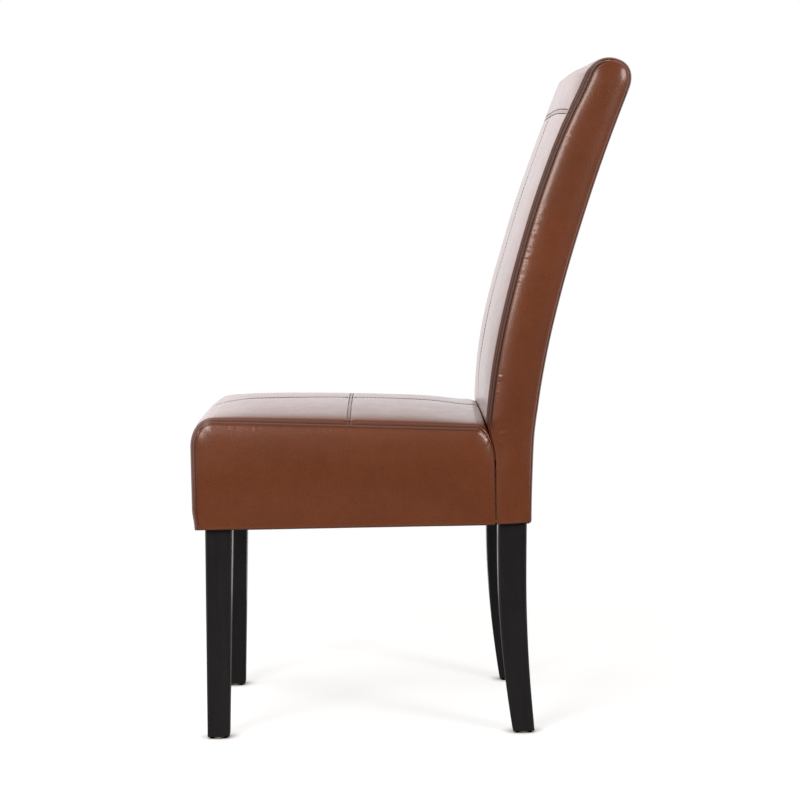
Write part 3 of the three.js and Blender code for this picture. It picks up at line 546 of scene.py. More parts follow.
def piece(name, points, faces, slot, replaces=(), painted_seam_shade=None, uv=None, material=None):
    """A piece of the chair from points in millimetres. Its faces point outwards already."""
    place = np.array(points, float).reshape(-1, 3)
    place[:, 1] += Y_SHIFT
    mesh = bpy.data.meshes.new(name)
    mesh.from_pydata((place / 1000).tolist(), [], faces)
    mesh.update()
    # A point attribute of painted shade along the seams, which the leather's colour reads
    if painted_seam_shade is not None:
        attribute = mesh.attributes.new("painted_seam_shade", "FLOAT", "POINT")
        attribute.data.foreach_set("value", np.asarray(painted_seam_shade, np.float32).ravel())
    if uv is not None:
        layer = mesh.uv_layers.new(name="cloth")
        corner = np.empty(len(mesh.loops), np.int32)
        mesh.loops.foreach_get("vertex_index", corner)
        layer.data.foreach_set("uv", np.asarray(uv, np.float32).reshape(-1, 2)[corner].ravel())
    mesh.shade_smooth()
    mesh.set_sharp_from_angle(angle=math.radians(SHARP_TURN))
    mesh.materials.append(FINISHES[material or slot])
    made = bpy.data.objects.new(name, mesh)
    scene.collection.objects.link(made)
    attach(made, "root")
    if replaces:
        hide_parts(*replaces)
    return made


def grid_faces(rows, columns):
    """The quads of a grid of points, row by row."""
    at = np.arange(rows * columns).reshape(rows, columns)
    return np.stack([at[:-1, :-1], at[:-1, 1:], at[1:, 1:], at[1:, :-1]], -1).reshape(-1, 4)


def shell(name, outer, inner, slot, replaces=(), painted_seam_shade=None, **more):
    """The closed body between an outer and an inner grid of points, with walls along the four edges."""
    rows, columns = outer.shape[:2]
    count = rows * columns
    front = grid_faces(rows, columns)
    at = np.arange(count).reshape(rows, columns)

    def wall(first, second):
        return np.stack([second, first, first + count, second + count], -1)
    walls = [wall(at[0, :-1], at[0, 1:]), wall(at[-1, 1:], at[-1, :-1]),
             wall(at[1:, 0], at[:-1, 0]), wall(at[:-1, -1], at[1:, -1])]
    faces = np.concatenate([front, front[:, ::-1] + count, *walls])
    a, b, d = (outer.reshape(-1, 3)[front[:, k]] for k in (0, 1, 3))
    facing = (np.cross(b - a, d - a) * (outer - inner).reshape(-1, 3)[front[:, 0]]).sum()
    if facing < 0:
        faces = faces[:, ::-1]
    points = np.concatenate([outer.reshape(-1, 3), inner.reshape(-1, 3)])
    if painted_seam_shade is not None:
        painted_seam_shade = np.concatenate([painted_seam_shade.ravel(), np.zeros(count)])
    return piece(name, points, faces.tolist(), slot, replaces, painted_seam_shade, **more)


def smooth_curve(x, table, column=1):
    """A curve through a column of a table, over its first column, that never overshoots the points.

    The spans are cubic, and the slope at a point is the harmonic mean of the slopes beside it."""
    knots, values = table[:, 0], table[:, column]
    step = np.diff(knots)
    rise = np.diff(values) / step
    slope = np.concatenate([rise[:1], np.zeros(len(rise) - 1), rise[-1:]])
    same = rise[:-1] * rise[1:] > 0
    slope[1:-1][same] = 2 * (rise[:-1] * rise[1:])[same] / (rise[:-1] + rise[1:])[same]
    x = np.clip(x, knots[0], knots[-1])
    i = np.clip(np.searchsorted(knots, x, side="right") - 1, 0, len(step) - 1)
    t = (x - knots[i]) / step[i]
    return ((2 * t ** 3 - 3 * t ** 2 + 1) * values[i] + (t ** 3 - 2 * t ** 2 + t) * step[i] * slope[i]
            + (3 * t ** 2 - 2 * t ** 3) * values[i + 1] + (t ** 3 - t ** 2) * step[i] * slope[i + 1])


def ease(x, low, high):
    """0 at low and beyond it, 1 at high and beyond it, and a smooth step between."""
    t = np.clip((x - low) / (high - low), 0, 1)
    return t * t * (3 - 2 * t)


def bell(x, width):
    return np.exp(-(x / width) ** 2)


def ripple(a, b, size):
    """A gentle unevenness from -1 to 1: the mean of five plane waves that never line up."""
    waves = ((1, .31, .4), (-.53, 1.13, 2.1), (1.71, -.83, 4.4), (.77, 1.93, 1.2), (2.3, .61, 5.3))
    return sum(np.sin((p * a + q * b) / size + phase) for p, q, phase in waves) / len(waves)


# Side views of the upholstery

def post_line(turn):
    """The middle line of a rear post at a height share: Y from the posts' own start, Z, and its direction.

    The set-backs are joined by a Catmull-Rom curve."""
    span = np.clip(np.floor(turn * 10) + 1, 1, 10).astype(int)
    t = turn * 10 + 1 - span
    a, b, c, d = (SETBACKS[span + k] for k in (-1, 0, 1, 2))
    back = b + 0.5 * ((c - a) * t + (2 * a - 5 * b + 4 * c - d) * t ** 2 + (3 * b - a - 3 * c + d) * t ** 3)
    lean = (c - a) + 2 * (2 * a - 5 * b + 4 * c - d) * t + 3 * (3 * b - a - 3 * c + d) * t ** 2
    lean = 5 / POST_HEIGHT * lean
    size = np.hypot(lean, 1)
    return back, turn * POST_HEIGHT, lean / size, 1 / size


BOTTOM_TURN = BOTTOM / POST_HEIGHT
POST_START = SEAT_REAR + POST_PLAY + POST_DEPTH_LOW / 2 - post_line(np.array(BOTTOM_TURN))[0]


def beside(turn, across, rise=0.0):
    """A point beside the posts' middle line, moved rearward across it and up along it: Y and Z."""
    back, z, lean, upright = post_line(turn)
    return joined(POST_START + back + upright * across + lean * rise, z - lean * across + upright * rise)


def half_post(turn):
    share = (turn - BOTTOM_TURN) / (1 - BOTTOM_TURN)
    return (POST_DEPTH_LOW + (POST_DEPTH_TOP - POST_DEPTH_LOW) * share) / 2


def touch_line(z):
    return smooth_curve(z, TOUCH)


def arc(centre, radius, start, end, count=40):
    """Points of an arc in the side view, in degrees from +Y towards +Z. radius may be two half axes."""
    angle = np.radians(np.linspace(start, end, count))
    return joined(np.cos(angle), np.sin(angle)) * radius + centre


class Run:
    """A side view line of the cover, from its fold at the front or lower edge to its fold at the rear.

    s is the length along it. At each s it has a point, an outward normal, how far the middle is lifted, the
    radius of the rounded edge and how far the edge is sewn with rows of stitches. The higher its power, the
    flatter the lifted middle, and roll is the share of the lift that falls only close to the edge. belly is
    how far its side panels swell and over what length. seam is the distance of the middle seam's rows from
    the join. edge_depth is the share of the edge seam's relief, and puckers their strength and their place
    along the edge. behind is -1 for the seat, in front of the touch line, and 1 for the back, behind it."""

    STEP = 0.5

    def __init__(self, parts, behind, power, roll, belly, seam, edge_depth, puckers):
        self.behind, self.power, self.roll, self.belly = behind, power, roll, belly
        self.seam, self.edge_depth, self.puckers = seam, edge_depth, puckers
        points = np.concatenate([part for part, _, _, _ in parts])
        values = [np.concatenate([np.broadcast_to(part[k], len(part[0])) for part in parts])
                  for k in (1, 2, 3)]
        keep = np.concatenate([[True], np.hypot(*np.diff(points, axis=0).T) > 1e-6])
        points = points[keep]
        length = lengths(points)
        self.s = np.arange(0, length[-1], self.STEP)
        self.points = joined(*(np.interp(self.s, length, points[:, k]) for k in (0, 1)))
        self.values = [self.smoothed(np.interp(self.s, length, value[keep]), 9) for value in values]
        along = np.gradient(self.points, axis=0)
        along = joined(*(self.smoothed(along[:, k], 7) for k in (0, 1)))
        along /= np.linalg.norm(along, axis=1)[:, None]
        self.normals = joined(-along[:, 1], along[:, 0])
        self.end = self.s[-1]
        self.top = self.points[:, 1].argmax()

    @staticmethod
    def smoothed(value, width):
        padded = np.pad(value, width // 2, mode="edge")
        return np.convolve(padded, np.ones(width) / width, mode="valid")

    def at(self, s):
        """Y, Z, the normal's Y and Z, lift, radius and sewn share at the lengths s."""
        return [np.interp(s, self.s, value) for value in
                (*self.points.T, *self.normals.T, *self.values)]

    def where(self, z, rear=False):
        """The length at which the line is at height z, before its highest point or after it."""
        if rear:
            return np.interp(-z, -self.points[self.top:, 1], self.s[self.top:])
        return np.interp(z, self.points[:self.top + 1, 1], self.s[:self.top + 1])

    def join_line(self, s):
        """The join on the rounded edge, seen from the side."""
        y, z, ny, nz, _, radius, _ = self.at(s)
        inset = radius * JOIN_INSET + JOIN_GAP
        return joined(y - ny * inset, z - nz * inset)


def make_seat_run():
    """The seat's cover in the side view.

    It is folded under the front rail and goes up the front, over a rounded edge, along the top and down a
    rounded rear to a fold."""
    rise = np.linspace(BOTTOM + FOLD, SEAT_TOP - SEAT_ARC[1], 60)
    up = joined(SEAT_FRONT + FRONT_LEAN * ease(rise, *LEAN_HEIGHTS), rise)
    foot = SEAT_FRONT + FRONT_LEAN
    over = arc((SEAT_FRONT + SEAT_ARC[0], SEAT_TOP - SEAT_ARC[1]), SEAT_ARC, 180, 90)
    y = np.linspace(SEAT_FRONT + SEAT_ARC[0], SEAT_REAR - TUCK[0], 200)[1:]
    top = joined(y, SEAT_TOP + (SEAT_TOP_REAR - SEAT_TOP) * (y - y[0]) / (y[-1] - y[0]))
    tuck = arc((SEAT_REAR - TUCK[0], TUCK_END), TUCK, 90, 0)[1:]
    down = joined(SEAT_REAR, np.linspace(TUCK_END, BOTTOM + FOLD, 30)[1:])
    turned = np.linspace(0, 1, len(tuck))
    tuck_swell = smooth_curve(tuck[:, 0], SEAT_SWELL) * (1 - ease(turned, *TUCK_SHARES))
    start = joined(np.linspace(foot + FOLD + HEM, foot + FOLD, 8), BOTTOM)
    stop = start[::-1] * (-1, 1) + (SEAT_REAR + foot, 0)
    return Run([
        (start, 0, FOLD_EDGE, 0),
        (arc((foot + FOLD, BOTTOM + FOLD), FOLD, 270, 180), 0, FOLD_EDGE, 0),
        (up, FRONT_SWELL * smooth_curve(rise, FRONT_SWELL_SHARES), ROUND_EDGE, 1),
        (over, np.linspace(FRONT_SWELL, EDGE_SWELL, len(over)), ROUND_EDGE, 1),
        (top, smooth_curve(y, SEAT_SWELL), ROUND_EDGE, 1),
        (tuck, tuck_swell, np.linspace(ROUND_EDGE, PLAIN_EDGE, len(tuck)), np.clip(1 - 2 * turned, 0, 1)),
        (down, 0, PLAIN_EDGE, 0),
        (arc((SEAT_REAR - FOLD, BOTTOM + FOLD), FOLD, 0, -90), 0, PLAIN_EDGE, 0),
        (stop, 0, PLAIN_EDGE, 0),
    ], behind=-1, power=2.6, roll=0.28, belly=(3.5, 60.0), seam=SEAT_SEAM_REACH, edge_depth=0.5,
        puckers=(0.6, 60))


def make_back_run():
    """The back's cover: up behind the seat, up the front foam, over two rounded corners, down the rear."""
    turn = np.linspace(BACK_START_SHARE, 1, 400)
    height = turn * POST_HEIGHT
    front = beside(turn, -half_post(turn) - BACK_PAD * smooth_curve(height, BACK_ROWS))
    low_end = 1 - ease(height, *LEAVE_HEIGHTS)
    front[:, 0] += low_end * (touch_line(front[:, 1]) + TOUCH_GAP - front[:, 0])
    edge = PLAIN_EDGE + (ROUND_EDGE - PLAIN_EDGE) * ease(height, *ROUND_HEIGHTS)
    low = joined(BACK_FOOT, np.linspace(BOTTOM + FOLD, front[0, 1], 20)[:-1])
    front_face = -half_post(1.0) - BACK_PAD * BACK_ROWS[-1, 1]
    rear_face = half_post(1.0) + REAR_BUILD + REAR_SWELL
    angle = np.linspace(0, PI / 2, 40)
    to_front, to_rear = 2 / TOP_FRONT_POWER, 2 / TOP_REAR_POWER
    across = np.concatenate([TOP_MIDDLE + (front_face - TOP_MIDDLE) * np.cos(angle) ** to_front,
                             TOP_MIDDLE + (rear_face - TOP_MIDDLE) * np.sin(angle) ** to_rear])
    rise = TOP_RISE * np.concatenate([np.sin(angle) ** to_front, np.cos(angle) ** to_rear])
    over = beside(np.ones(len(rise)), across, rise)
    over_sewn = 1 - ease(np.arange(len(over)), 12, 34)
    down_turn = np.linspace(1, (BOTTOM + REAR_FOLD) / POST_HEIGHT, 300)
    swell = REAR_SWELL * ease(down_turn * POST_HEIGHT, *REAR_SWELL_HEIGHTS)
    down = beside(down_turn, half_post(down_turn) + REAR_BUILD + swell)
    fold = down[-1, 0] - REAR_FOLD
    stop = joined(np.linspace(fold, fold - 3, 8), BOTTOM)
    return Run([
        (arc((BACK_FOOT + FOLD, BOTTOM + FOLD), FOLD, 250, 180), 0, PLAIN_EDGE, 0),
        (low, 0, PLAIN_EDGE, 0),
        (front, BACK_CROWN * smooth_curve(height, BACK_ROWS, 2), edge, ease(height, *ROW_HEIGHTS)),
        (over, smooth_curve(lengths(over), TOP_SWELL), TOP_EDGE, over_sewn),
        (down, REAR_CROWN * ease(down_turn, *REAR_CROWN_SHARES), REAR_EDGE, 0),
        (arc((fold, BOTTOM + REAR_FOLD), REAR_FOLD, 0, -90), 0, FOLD_EDGE, 0),
        (stop, 0, FOLD_EDGE, 0),
    ], behind=1, power=4, roll=0.0, belly=(2.8, 36.0), seam=BACK_SEAM_REACH, edge_depth=1.0,
        puckers=(1.0, 200))


SEAT, BACK = make_seat_run(), make_back_run()
# Lengths between which a side panel's points look for their nearest edge
SEAT.corners = (SEAT.where(BOTTOM + 1), SEAT.where(468), SEAT.where(455, True), SEAT.where(BOTTOM + 1, True))
BACK.corners = (BACK.s[10], BACK.s[BACK.top], BACK.where(BOTTOM + 1, True))
ON_TOP = SEAT.s >= 200
SEAT_CROSS = np.interp(SEAT_CROSS_Y, SEAT.points[ON_TOP, 0], SEAT.s[ON_TOP])
BACK_CROSS = BACK.where(BACK_CROSS_Z)


# Leather

def seam_relief(u, along, sewn, reach, puckers=(0.4, 0)):
    """How the leather stands beside a join, and how dark the shade painted into its join, row and turned-in
    band is.

    u is the distance from the join. It dips at the join, stands up over the turned-in edge, dips at the
    row of stitches, deepest at each hole, and puckers past the row between the holes and in patches."""
    hole = 0.5 + 0.5 * np.cos(2 * PI * along / PITCH)
    join = bell(u, JOIN_WIDTH) * (1 - 0.92 * sewn)
    row = sewn * bell(u - reach, ROW_WIDTH) * (0.75 + 0.25 * hole)
    between = sewn * ease(reach + 0.6 - u, 0, 1.6)
    strength, place = puckers
    patch = strength * (0.15 + ease(ripple(along + place, 3 * reach, 46), 0.0, 0.3))

    def pucker(shape, form):
        height, past, width = shape
        return height * patch * sewn * form * bell(u - reach - past, width)
    height = (TURNED_RISE * between - JOIN_DIP * join - ROW_DIP * row
              - HOLLOW_DIP * sewn * bell(u - reach, HOLLOW_WIDTH)
              + pucker(HOLE_PUCKER, (1 + 0.35 * ripple(along, 7 * reach, 11)) * (0.5 - hole))
              + pucker(FINE_PUCKER, ripple(5 * along, 1.5 * u, 7))
              + pucker(BROAD_PUCKER, ripple(2.4 * along, 1.8 * u, 7)))
    # The second value is painted shade: darkest at the join and the row, lighter over the turned-in band
    return height, np.clip((0.45 + 0.45 * sewn) * join + 0.9 * row + 0.5 * between, 0, 1)


def wrap_at(run, s, girth):
    """Where the cover's middle panels are, and their outward direction.

    The girth runs across from the middle, flat and then over the rounded edge."""
    y, z, ny, nz, lift, radius, _ = run.at(s)
    flat = HALF_WIDTH - radius
    across = np.abs(girth)
    angle = np.clip((across - flat) / radius, 0, None)
    x = np.where(angle > 0, flat + radius * np.sin(angle), across)
    near = np.clip(HALF_WIDTH - radius * (1 - math.sin(JOIN_TURN)) - x, 0, None)
    crown = 1 - (1 - run.roll) * (x / HALF_WIDTH) ** run.power - run.roll * np.exp(-near / ROLL_REACH)
    rise = lift * crown - radius * (1 - np.cos(angle))
    inward = np.clip(BOTTOM + FOLD - z, 0, FOLD) + np.where(z < BOTTOM + 0.01, HEM / 2, 0)
    x = x * (1 - inward / HALF_WIDTH)
    way = np.sign(girth)
    point = joined(way * x, y + ny * rise, z + nz * rise)
    normal = joined(way * np.sin(angle), ny * np.cos(angle), nz * np.cos(angle))
    return point, normal


def edge_girth(run, s):
    """The girth at which a wrap panel ends, at the join on the rounded edge."""
    radius = run.at(s)[5]
    return HALF_WIDTH - radius + radius * JOIN_TURN


def held_apart(run, point, gap=TOUCH_GAP):
    """Keeps the seat's rear in front of the touch line, and the back's front behind it."""
    line = touch_line(point[..., 2]) + run.behind * gap
    y = np.minimum(point[..., 1], line) if run.behind < 0 else np.maximum(point[..., 1], line)
    point[..., 1] = np.where(point[..., 2] < TOUCH_TOP, y, point[..., 1])
    return point


# Where a panel's points lie beside its joins: at the edge, at the middle and cross seams, and on the sides
EDGE_STEPS = np.array([
    JOIN_GAP, .4, .8, 1.3, 1.9, 2.6, 3.3, 3.9, 4.4, 4.9, 5.4, 6, 6.8, 7.8, 9, 10.5, 12.2, 14])
SEAM_STEPS = np.array([JOIN_GAP, .4, .8, 1.3, 1.8, 2.3, 2.7, 3.1, 3.6, 4.3, 5.3, 6.6, 8.2, 10])
SEAT_END_STEPS = np.array([.35, .8, 1.4, 2, 2.7, 3.4, 4.2, 5.1, 6.2, 7.5, 9])
SEAT_TOP_STEPS = np.array([
    0, .3, .6, 1, 1.4, 1.9, 2.4, 3, 3.5, 4, 4.5, 5, 5.5, 6, 6.6, 7.2, 8, 9, 10.3, 12, 14])
BACK_FRONT_STEPS = np.array([0, .35, .8, 1.3, 1.9, 2.6, 3.3, 4, 4.7, 5.5, 6.4, 7.5, 9, 11, 13.5, 16.5, 20])
BACK_REAR_STEPS = np.array([0, .35, .8, 1.3, 1.9, 2.6, 3.3, 4.1, 5, 6.1, 7.4, 9, 11, 14])
FOLD_TURN = FOLD * PI / 2
FOLD_ROWS = np.array([FOLD_TURN + HEM, FOLD_TURN + HEM / 2, FOLD_TURN, 4.7, 3.1, 1.6])
# Distance between a panel's rows, and the seat side's height and back side's width that steps are shares of
ROW_STEP = 1.5
SEAT_SIDE = 145
BACK_SIDE = 95


def stations(start, end, step, seam=None):
    """Lengths from start to end, closer together beside a seam."""
    even = np.linspace(start, end, max(2, int(round((end - start) / step)) + 1))
    if seam is not None:
        even = even[np.abs(even - seam) > SEAM_STEPS[-1] * 0.9]
        even = np.concatenate([even, seam + SEAM_STEPS, seam - SEAM_STEPS])
    even = np.sort(even[(even >= start - 1e-6) & (even <= end + 1e-6)])
    return even[np.concatenate([[True], np.diff(even) > 0.12])]


def leather(name, outer, inner, painted_shade):
    """A panel of the cover, in place of the frame's own."""
    made = shell(f"{name}_leather", outer, inner, "cover_leather", [f"{name}_panel"], painted_shade)


def wrap_relief(run, s, girth, middle, cross):
    """Relief of a wrap panel and the shade painted into it, from its edge seam, the middle seam and the cross
    seam.
    """
    edge = edge_girth(run, s)
    height, painted_shade = seam_relief(edge - np.abs(girth), s, run.at(s)[6], EDGE_REACH)
    height, painted_shade = height * run.edge_depth, painted_shade * run.edge_depth
    if middle is not None:
        more, shade = seam_relief(np.abs(girth), s, middle, run.seam)
        height = height + MIDDLE_RELIEF * more - SEAM_SINK * middle * bell(girth, SINK_WIDTH)
        painted_shade = np.maximum(painted_shade, MIDDLE_RELIEF * shade)
    near = np.abs(s - cross)
    more, shade = seam_relief(near, girth, ease(near, 90, 60), run.seam)
    height = height + CROSS_RELIEF * more - SEAM_SINK * bell(near, SINK_WIDTH)
    wave, size, full = WRAP_WAVE
    height = height + wave * ripple(girth, s, size) * ease(edge - np.abs(girth), 0, full)
    return height, np.maximum(painted_shade, CROSS_SHADE * shade)


def wrap_panel(name, run, rows, girths, middle, cross):
    """A leather panel of the seat's or the back's middle. girths gives the columns for a length s."""
    s = rows[:, None]
    girth = girths(s)
    weight = None if middle is None else middle(s)
    s = np.broadcast_to(s, girth.shape)
    point, normal = wrap_at(run, s, girth)
    height, painted_shade = wrap_relief(run, s, girth, weight, cross)
    outer = held_apart(run, point + normal * height[..., None])
    inner = held_apart(run, point - normal * LEATHER, TOUCH_GAP + LEATHER)
    leather(name, outer, inner, painted_shade)


def half_columns(way, run, inner=SEAM_STEPS):
    """The columns of a half panel: dense beside the middle seam and beside the edge."""
    def columns(s):
        edge = edge_girth(run, s)
        first = inner[None, :] + 0 * s
        share = np.linspace(0, 1, 30)[None, 1:-1]
        between = first[:, -1:] + (edge - EDGE_STEPS[-1] - first[:, -1:]) * share
        girth = np.concatenate([first, between, edge - EDGE_STEPS[::-1][None, :]], 1)
        return girth if way > 0 else -girth[:, ::-1]
    return columns


def whole_columns(run):
    right, left = (half_columns(way, run, np.array([0.0])) for way in (-1, 1))
    return lambda s: np.concatenate([right(s)[:, :-1], left(s)], 1)


def cover_seat():
    """Four top panels that meet in a cross. The middle seam's rows stop where the seat goes down behind."""
    def middle(s):
        return 1 - ease(s, SEAT.where(455, True), SEAT.where(430, True))
    spans = {"front": (0, SEAT_CROSS - JOIN_GAP), "rear": (SEAT_CROSS + JOIN_GAP, SEAT.end)}
    for part, (start, end) in spans.items():
        rows = stations(start, end, ROW_STEP, SEAT_CROSS)
        for side, way in SIDES:
            wrap_panel(f"seat_{part}_{side}", SEAT, rows, half_columns(way, SEAT), middle, SEAT_CROSS)


def cover_back():
    """Two front panels, and one panel over the top and down the rear."""
    rows = stations(BACK.where(412), BACK_CROSS - JOIN_GAP, ROW_STEP, BACK_CROSS)
    for side, way in SIDES:
        wrap_panel(f"back_front_{side}", BACK, rows, half_columns(way, BACK), np.ones_like, BACK_CROSS)
    top = BACK.where(935, True)
    rows = np.concatenate([stations(BACK_CROSS + JOIN_GAP, top, ROW_STEP, BACK_CROSS),
                           stations(top, BACK.end, 4)[1:]])
    wrap_panel("back_top_and_rear", BACK, rows, whole_columns(BACK), None, BACK_CROSS)


def nearest_on(run, points, low, high):
    """For points of the side view, the length at the nearest point of a span of the run, and the distance."""
    span = slice(np.searchsorted(run.s, low), np.searchsorted(run.s, high))
    line, along = run.points[span], run.s[span]
    flat = points.reshape(-1, 2)
    parts = [flat[k:k + 4000] for k in range(0, len(flat), 4000)]
    found = np.concatenate([((part[:, None, :] - line[None]) ** 2).sum(-1).argmin(1) for part in parts])
    foot = line[found]
    step = np.gradient(line, axis=0)[found]
    step /= np.linalg.norm(step, axis=1)[:, None]
    slide = np.clip(((flat - foot) * step).sum(1), -0.3, 0.3)
    gap = np.linalg.norm(flat - foot - step * slide[:, None], axis=1)
    return (along[found] + slide).reshape(points.shape[:-1]), gap.reshape(points.shape[:-1])


def side_at(run, plane):
    """Where a side panel is above each point of the side view.

    Gives the length along the run, how far out the panel stands, the distance from the join and the angle
    that it has turned over the rounded edge. Past the edge it swells, less where two edges are near."""
    found = [nearest_on(run, plane, low, high) for low, high in zip(run.corners[:-1], run.corners[1:])]
    s, distance = found[0]
    for other_s, other in found[1:]:
        s, distance = np.where(other < distance, other_s, s), np.minimum(other, distance)
    soft = sum(np.maximum(gap, 0.01) ** -4.0 for _, gap in found) ** -0.25
    radius = run.at(s)[5]
    turned = np.arccos(np.clip(1 - distance / radius, 0, 1))
    girth = np.where(distance < radius, radius * (turned - JOIN_TURN),
                     radius * (PI / 2 - JOIN_TURN) + distance - radius)
    belly, reach = run.belly
    inside = np.clip(soft - ROLL_START, 0, None)
    swell = belly * (1 - (1 - np.clip(inside / reach, 0, 1)) ** 2)
    swell = swell + EDGE_ROLL * (1 - np.exp(-inside / ROLL_REACH))
    swell = swell * ease(plane[..., 1], SWELL_LOW, SWELL_HIGH)
    return s, HALF_WIDTH - radius + radius * np.sin(turned) + swell, girth, turned


def corner_puckers(plane):
    """Short folds that fan out from the seat's rear top corner, where the back squeezes it."""
    y, z = plane[..., 0] - PINCH[0], plane[..., 1] - PINCH[1]
    angle = np.arctan2(z, y)
    fan = np.sin(8 * angle + 0.9) * 0.6 + np.sin(13 * angle) * 0.4
    return 0.3 * fan * bell(np.hypot(y, z) - 14, 8)


def side_panels(run, label, plane, fold):
    """The two leather side panels over a grid of the side view (plane, as Y and Z).

    fold is how far a row has turned under at the bottom, as a length."""
    s, x, girth, turned = side_at(run, plane)
    height, painted_shade = seam_relief(girth, s, run.at(s)[6], EDGE_REACH, run.puckers)
    height, painted_shade = height * run.edge_depth, painted_shade * run.edge_depth
    wave, size, full = SIDE_WAVE
    height = height + wave * ripple(plane[..., 0], plane[..., 1], size) * ease(girth, 2, full)
    height = height + corner_puckers(plane)
    ny, nz = run.at(s)[2:4]
    under = np.clip(fold, 0, FOLD_TURN) / FOLD
    inward = FOLD * (1 - np.cos(under)) + np.clip(fold - FOLD_TURN, 0, None)
    y = plane[..., 0]
    if run is BACK:
        y = y.mean() + (y - y.mean()) * (1 - inward / 200)
    point = joined(x - inward, y, plane[..., 1] - FOLD * np.sin(under))
    normal = joined(np.sin(turned) * np.cos(under), ny * np.cos(turned),
                    nz * np.cos(turned) - np.sin(turned) * np.sin(under))
    outer = held_apart(run, point + normal * height[..., None])
    inner = held_apart(run, point - normal * LEATHER, 3 * TOUCH_GAP)
    for side, way in SIDES:
        leather(f"{label}_{side}_side", outer * (way, 1, 1), inner * (way, 1, 1), painted_shade)


def cover_seat_sides():
    """Columns hang from the rounded edge down to the fold, closer together at the front and rear edges."""
    top = stations(SEAT.where(SEAT_TOP - SEAT_ARC[1] + 1), SEAT.where(TUCK_END + 2, True), ROW_STEP)
    y, z = SEAT.join_line(top).T
    front, rear = y[0], y[-1]
    keep = (y > front + SEAT_END_STEPS[-1] + 1) & (y < rear - 6)
    order = np.argsort(y)
    near_rear = rear - SEAT_END_STEPS[:6][::-1]
    columns = np.concatenate([[front], front + SEAT_END_STEPS, y[keep], near_rear, [rear]])
    tops = np.interp(columns, y[order], z[order])
    share = np.concatenate([np.linspace(0, 0.9, 76)[:-1], 1 - SEAT_TOP_STEPS[::-1] / SEAT_SIDE])
    floor = BOTTOM + FOLD
    plane = joined(columns[:, None], floor + (tops[:, None] - floor) * share[None])
    plane = np.concatenate([np.repeat(plane[:, :1], len(FOLD_ROWS), 1), plane], 1)
    fold = np.concatenate([FOLD_ROWS, 0 * share])
    side_panels(SEAT, "seat", plane, np.broadcast_to(fold, plane.shape[:2]))


def cover_back_sides():
    """Rungs run from the front edge to the rear edge at one height along the posts.

    Over the top they follow the two rounded corners."""
    height = np.append(np.arange(BOTTOM + FOLD, 940, 1.6), 941)
    front = BACK.where(height)
    lean = np.interp(height, [315, 500, 960], [0, 8, 22])
    rear = np.minimum(BACK.where(height - lean, True), BACK.where(BOTTOM + REAR_FOLD + 0.2, True))
    apex = BACK.s[BACK.top]
    over = np.sin(np.linspace(0, PI / 2, 60))[1:]
    front = BACK.join_line(np.concatenate([front, front[-1] + (apex - 14 - front[-1]) * over]))
    rear = BACK.join_line(np.concatenate([rear, rear[-1] + (apex + 9 - rear[-1]) * over]))
    first, last = BACK_FRONT_STEPS / BACK_SIDE, 1 - BACK_REAR_STEPS[::-1] / BACK_SIDE
    share = np.concatenate([first, np.linspace(first[-1], last[0], 18)[1:-1], last])
    plane = front[:, None] + (rear - front)[:, None] * share[None, :, None]
    plane = np.concatenate([np.repeat(plane[:1], len(FOLD_ROWS), 0), plane])
    fold = np.concatenate([FOLD_ROWS, np.zeros(len(front))])[:, None]
    side_panels(BACK, "back", plane, np.broadcast_to(fold, plane.shape[:2]))


# Padding

# Play between two pieces, and how deep the padding lies under the cover's outer face
PLAY = 0.35
UNDER = LEATHER + PLAY
# Heights of the board's top, the foam's bottom and the wadding's bottom
BOARD_TOP = 399.3
FOAM_BOTTOM = 399.6
PAD_BOTTOM = 317.2
# How far the straps' faces stand before the posts
WEB_FACE = 2.7
# The heights over which the side wadding draws in behind the turned hem, and by how much
HEM_HEIGHTS = (328, 318)
HEM_DRAW = 2
# Rows of padding: the distance between them on the seat, its front, the back, its top and its rear
SEAT_ROWS_STEP, FRONT_ROWS_STEP, BACK_ROWS_STEP, TOP_ROWS_STEP, REAR_ROWS_STEP = 4, 3, 4, 2, 5
PAD_COLUMNS = 81


def beneath(run, s, depth=UNDER):
    """The cover's surface taken in by depth, from one rounded edge to the other."""
    edge = HALF_WIDTH - ROUND_EDGE + ROUND_EDGE * PI / 2
    girth = edge * np.linspace(-1, 1, PAD_COLUMNS)[None]
    point, normal = wrap_at(run, s[:, None] + 0 * girth, girth)
    return point - normal * depth


def foam(name, outer, inner, replaces):
    shell(name, outer, inner, "foam", [replaces])


def wadding(name, outer, inner):
    shell(f"{name}_wadding", outer, inner, "wadding", [f"{name}_padding"])


def side_waddings(run, label, plane):
    """Wadding on both sides of the frame, a little in from the side leather and its turned hem."""
    y, z = plane[..., 0], plane[..., 1]
    x = side_at(run, plane)[1] - UNDER - 0.3 - HEM_DRAW * ease(z, *HEM_HEIGHTS) + 0.25 * ripple(y, z, 14)
    for side, way in SIDES:
        wadding(f"{label}_{side}", joined(way * x, y, z), joined(way * (HALF_FRAME + PLAY), y, z))


